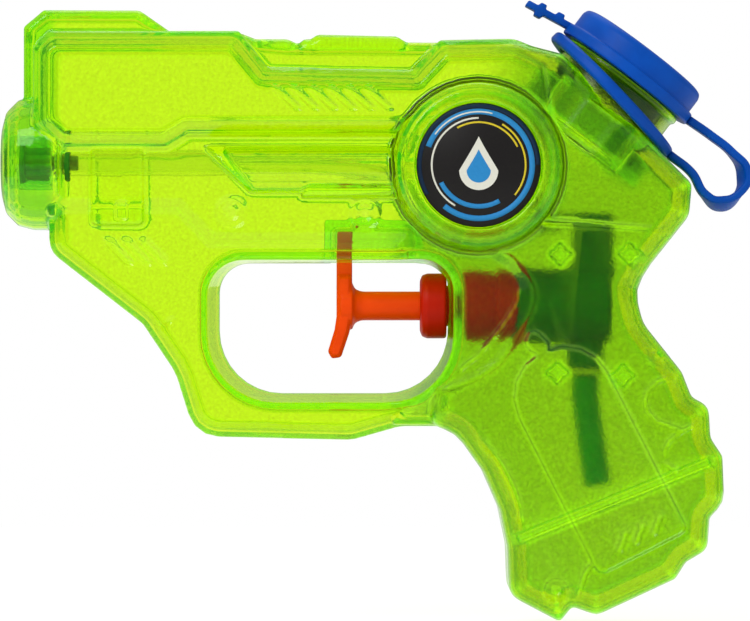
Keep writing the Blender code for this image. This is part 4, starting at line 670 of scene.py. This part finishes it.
# Tether strap between the cap and the ring, a flat tongue of the same moulding that is bent into a loop.
# It stands edge-on at both ends and leans over in the loop.
strap_width, strap_thickness = 0.0054, 0.0019
edge_round, face_round = 0.35, 0.5
lean_from, lean_stretch, most_lean = 0.22, 0.56, 0.9
lean_way = Vector((0.6, 0, 0.8))
strap_route = [
    (0.0216, 0.0677), (0.0266, 0.0642), (0.0310, 0.0606), (0.0337, 0.0564), (0.0326, 0.0518),
    (0.0284, 0.0494), (0.0249, 0.0517), (0.0223, 0.0561), (0.0173, 0.0602),
]
path = [vertex.co.copy() for vertex in bent_mesh(strap_route, 10).vertices]
shape = bmesh.new()
previous = None
for i, point in enumerate(path):
    along = (path[min(i + 1, len(path) - 1)] - path[max(i - 1, 0)]).normalized()
    share = (i / (len(path) - 1) - lean_from) / lean_stretch
    lean = most_lean * math.sin(math.pi * min(max(share, 0.0), 1.0)) ** 2
    wide = (y_way - lean * lean_way).normalized()
    thick = along.cross(wide).normalized()
    wide = thick.cross(along)
    section = bmesh.ops.create_circle(shape, segments=16, radius=1.0)["verts"]
    for vertex in section:
        across, up = vertex.co.x, vertex.co.y
        vertex.co = (
            point
            + wide * math.copysign(abs(across) ** edge_round, across) * strap_width / 2
            + thick * math.copysign(abs(up) ** face_round, up) * strap_thickness / 2
        )
    edges = [edge for edge in shape.edges if edge.verts[0] in section and edge.verts[1] in section]
    if previous:
        bmesh.ops.bridge_loops(shape, edges=previous + edges)
    previous = edges
bmesh.ops.holes_fill(shape, edges=[edge for edge in shape.edges if edge.is_boundary])
bmesh.ops.recalc_face_normals(shape, faces=shape.faces)
strap = settle(link_mesh("tether_loop", shape), soft_blue, None, "blue_plastic", "tether_strap")
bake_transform(strap)


# Badges, printed vinyl discs in the bezels: a dark ground with thin rings in blue, white and yellow
# and a drop in the middle, each ink layer a hair above the film.
def ink(name, colour, shade):
    """Printed vinyl film: satin ink in an even colour with a fine print grain, drawn coarse enough to show."""
    print_grain = 0.5 * mm
    material, tree = blank_material(name)
    place = add(tree, "TexCoord", {}).outputs["Object"]
    screen = add(tree, "TexNoise", {"Vector": place, "Scale": 1 / print_grain, "Detail": 2.0})
    tint = add(tree, "ValToRGB", {"Fac": screen.outputs[0]})
    tint.color_ramp.elements[0].color = linear(shade)
    tint.color_ramp.elements[1].color = linear(colour)
    skin = add(
        tree,
        "BsdfPrincipled",
        {"Base Color": tint.outputs[0], "Roughness": 0.45, "IOR": 1.5, "Specular IOR Level": 0.2},
    )
    add(tree, "OutputMaterial", {"Surface": skin.outputs[0]})
    return material


inks = [
    ink("black_printed_vinyl", "#1E1B1A", "#171516"),
    ink("blue_ink", "#2F8FD0", "#2784C4"),
    ink("cream_ink", "#E9E8DC", "#DEDDCF"),
    ink("yellow_ink", "#E6CF33", "#D8C02A"),
    ink("navy_ink", "#0F2C48", "#0C2540"),
]
black, blue, cream, yellow, navy = range(len(inks))
badge_radius, badge_edge = 0.0134, 0.00012
ink_height, ring_layer, drop_layer = 0.00004, 1.5, 1.6
drop_radius, drop_stretch, drop_taper, drop_fall, drop_heart = 0.0042, 0.75, 0.55, 0.0012, 0.62
rings = (  # inner and outer radius in metres, start and sweep in degrees, ink
    (0.0123, 0.0132, 150, 210, navy),
    (0.0109, 0.0121, 200, 290, blue),
    (0.0113, 0.0116, 215, 70, cream),
    (0.0099, 0.0103, 120, 150, cream),
    (0.0099, 0.0103, 300, 100, yellow),
    (0.0084, 0.0094, 60, 95, blue),
    (0.0090, 0.0094, 240, 95, yellow),
)


def badge(name, node, side):
    """Disc with its printed rings and drop, on the side of the body that the sign of side gives."""
    low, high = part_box(node)
    middle = Vector(((low[0] + high[0]) / 2, 0, (low[2] + high[2]) / 2))
    face = max(abs(low[1]), abs(high[1]))
    back = min(abs(low[1]), abs(high[1]))
    shape = bmesh.new()
    profile = [
        (0.0, back),
        (badge_radius, back),
        (badge_radius, face - badge_edge),
        (badge_radius - badge_edge, face),
        (0.0, face),
    ]
    edge_line = [shape.verts.new((r, y, 0)) for r, y in profile]
    edges = [shape.edges.new(pair) for pair in zip(edge_line, edge_line[1:])]
    bmesh.ops.spin(shape, geom=edge_line + edges, axis=y_way, angle=2 * math.pi, steps=96, use_merge=True)
    bmesh.ops.remove_doubles(shape, verts=shape.verts, dist=weld)
    for inner, outer, start, sweep, colour in rings:
        swing = Matrix.Rotation(math.radians(start), 3, "Y")
        lift = ink_height * (ring_layer if colour == cream else 1.0)
        corners = [
            shape.verts.new(swing @ Vector((r, y, 0)))
            for r, y in ((inner, face), (outer, face), (outer, face + lift), (inner, face + lift))
        ]
        before = set(shape.faces)
        end = shape.faces.new(corners)
        bmesh.ops.spin(
            shape,
            geom=corners + list(end.edges) + [end],
            axis=y_way,
            angle=math.radians(sweep),
            steps=max(8, sweep // 4),
        )
        for print_face in set(shape.faces) - before:
            print_face.material_index = colour
    for radius, height, colour in (
        (drop_radius, ink_height, cream),
        (drop_heart * drop_radius, drop_layer * ink_height, blue),
    ):
        before = set(shape.faces)
        outline = bmesh.ops.create_circle(shape, cap_ends=True, segments=48, radius=radius)["verts"]
        for vertex in outline:
            x, z = vertex.co.x, vertex.co.y
            if z > 0:
                pull = z / radius
                x *= (1 - pull) ** drop_taper if pull < 1 else 0.0
                z *= 1.0 + drop_stretch * pull
            vertex.co = (x, face + height, z - drop_fall)
        for print_face in set(shape.faces) - before:
            print_face.material_index = colour
    if side < 0:
        bmesh.ops.scale(shape, vec=(1, -1, 1), verts=shape.verts)
    bmesh.ops.recalc_face_normals(shape, faces=shape.faces)
    bmesh.ops.translate(shape, vec=middle, verts=shape.verts)
    piece = settle(link_mesh(name, shape), inks[black], "housing", "printed_label", node)
    for other in inks[1:]:
        piece.data.materials.append(other)


badge("left_disc", "left_badge", -1)
badge("right_disc", "right_badge", 1)

# Stage: a plain pale floor below the grip, soft boxes from the front and above, and a white surround.
# The surround and floor look white to the eye and in the clear walls, while the floor still takes the shadow.
floor_gap, floor_half = 0.0012, 0.5
middle_x, middle_z = -0.047, 0.0261
shape = bmesh.new()
bmesh.ops.create_grid(shape, x_segments=1, y_segments=1, size=floor_half)
bmesh.ops.translate(shape, vec=(middle_x, 0, cad_box[0][2] - floor_gap), verts=shape.verts)
floor = link_mesh("studio_floor", shape)
# Studio paper, smooth and matt: white to the eye, with a soft shadow.
floor_paper, tree = blank_material("white_studio_paper")
ray = add(tree, "LightPath", {})
seen = add(tree, "Math", {0: ray.outputs["Is Camera Ray"], 1: ray.outputs["Is Glossy Ray"]}, operation="MAXIMUM")
seen = add(tree, "Math", {0: seen.outputs[0], 1: ray.outputs["Is Transmission Ray"]}, operation="MAXIMUM")
paper = add(tree, "BsdfDiffuse", {"Color": linear("#F4F4F2")})
glow = add(tree, "Emission", {"Color": linear("#FFFFFF"), "Strength": 1.12})
share = add(tree, "Math", {0: seen.outputs[0], 1: 0.75}, operation="MULTIPLY")
mixed = add(tree, "MixShader", {0: share.outputs[0], 1: paper.outputs[0], 2: glow.outputs[0]})
add(tree, "OutputMaterial", {"Surface": mixed.outputs[0]})
floor.data.materials.append(floor_paper)

world = bpy.data.worlds.new("white_surround")
world.use_nodes = True
tree = world.node_tree
tree.nodes.clear()
ray = add(tree, "LightPath", {})
way = add(tree, "SeparateXYZ", {0: add(tree, "TexCoord", {}).outputs["Generated"]})
steep = add(tree, "Math", {0: way.outputs["Z"]}, operation="ABSOLUTE")
dome = add(
    tree, "MapRange", {"Value": steep.outputs[0], "From Min": 0.15, "From Max": 0.7, "To Min": 0.3, "To Max": 0.5}
)
backdrop = add(
    tree, "MapRange", {"Value": steep.outputs[0], "From Min": 0.2, "From Max": 0.6, "To Min": 1.0, "To Max": 0.8}
)
level = add(tree, "Mix", {0: ray.outputs["Is Glossy Ray"], 2: 0.55, 3: dome.outputs[0]})
level = add(tree, "Mix", {0: ray.outputs["Is Transmission Ray"], 2: level.outputs[0], 3: backdrop.outputs[0]})
level = add(tree, "Mix", {0: ray.outputs["Is Camera Ray"], 2: level.outputs[0], 3: 1.0})
sky = add(tree, "Background", {"Color": linear("#FFFFFF"), "Strength": level.outputs[0]})
add(tree, "OutputWorld", {"Surface": sky.outputs[0]})
scene.world = world

lamp_target = Vector((middle_x, 0, 0.026))
for light_name, spot, power, size in (
    ("key_softbox", (-0.55, -0.75, 0.75), 5.6, 0.6),
    ("fill_softbox", (0.75, -0.7, 0.35), 0.6, 0.7),
    ("top_softbox", (0.0, 0.35, 0.95), 2.5, 0.6),
):
    lamp = bpy.data.lights.new(light_name, "AREA")
    lamp.energy = power
    lamp.size = size
    lamp_object = bpy.data.objects.new(light_name, lamp)
    lamp_object.visible_transmission = False
    scene.collection.objects.link(lamp_object)
    aim = lamp_target - Vector(spot)
    lamp_object.matrix_world = Matrix.Translation(spot) @ aim.to_track_quat("-Z", "Y").to_matrix().to_4x4()

camera_distance = 1.139
camera = bpy.data.cameras.new("side_camera")
camera.lens = 250
camera.sensor_width = 36
camera.clip_start = 0.05
camera_object = bpy.data.objects.new("side_camera", camera)
scene.collection.objects.link(camera_object)
level_view = Matrix.Rotation(math.pi / 2, 4, "X")
camera_object.matrix_world = Matrix.Translation((middle_x, -camera_distance, middle_z)) @ level_view
scene.camera = camera_object
scene.view_settings.view_transform = "Standard"
scene.cycles.max_bounces = 32
scene.cycles.glossy_bounces = 24
scene.cycles.transmission_bounces = 32
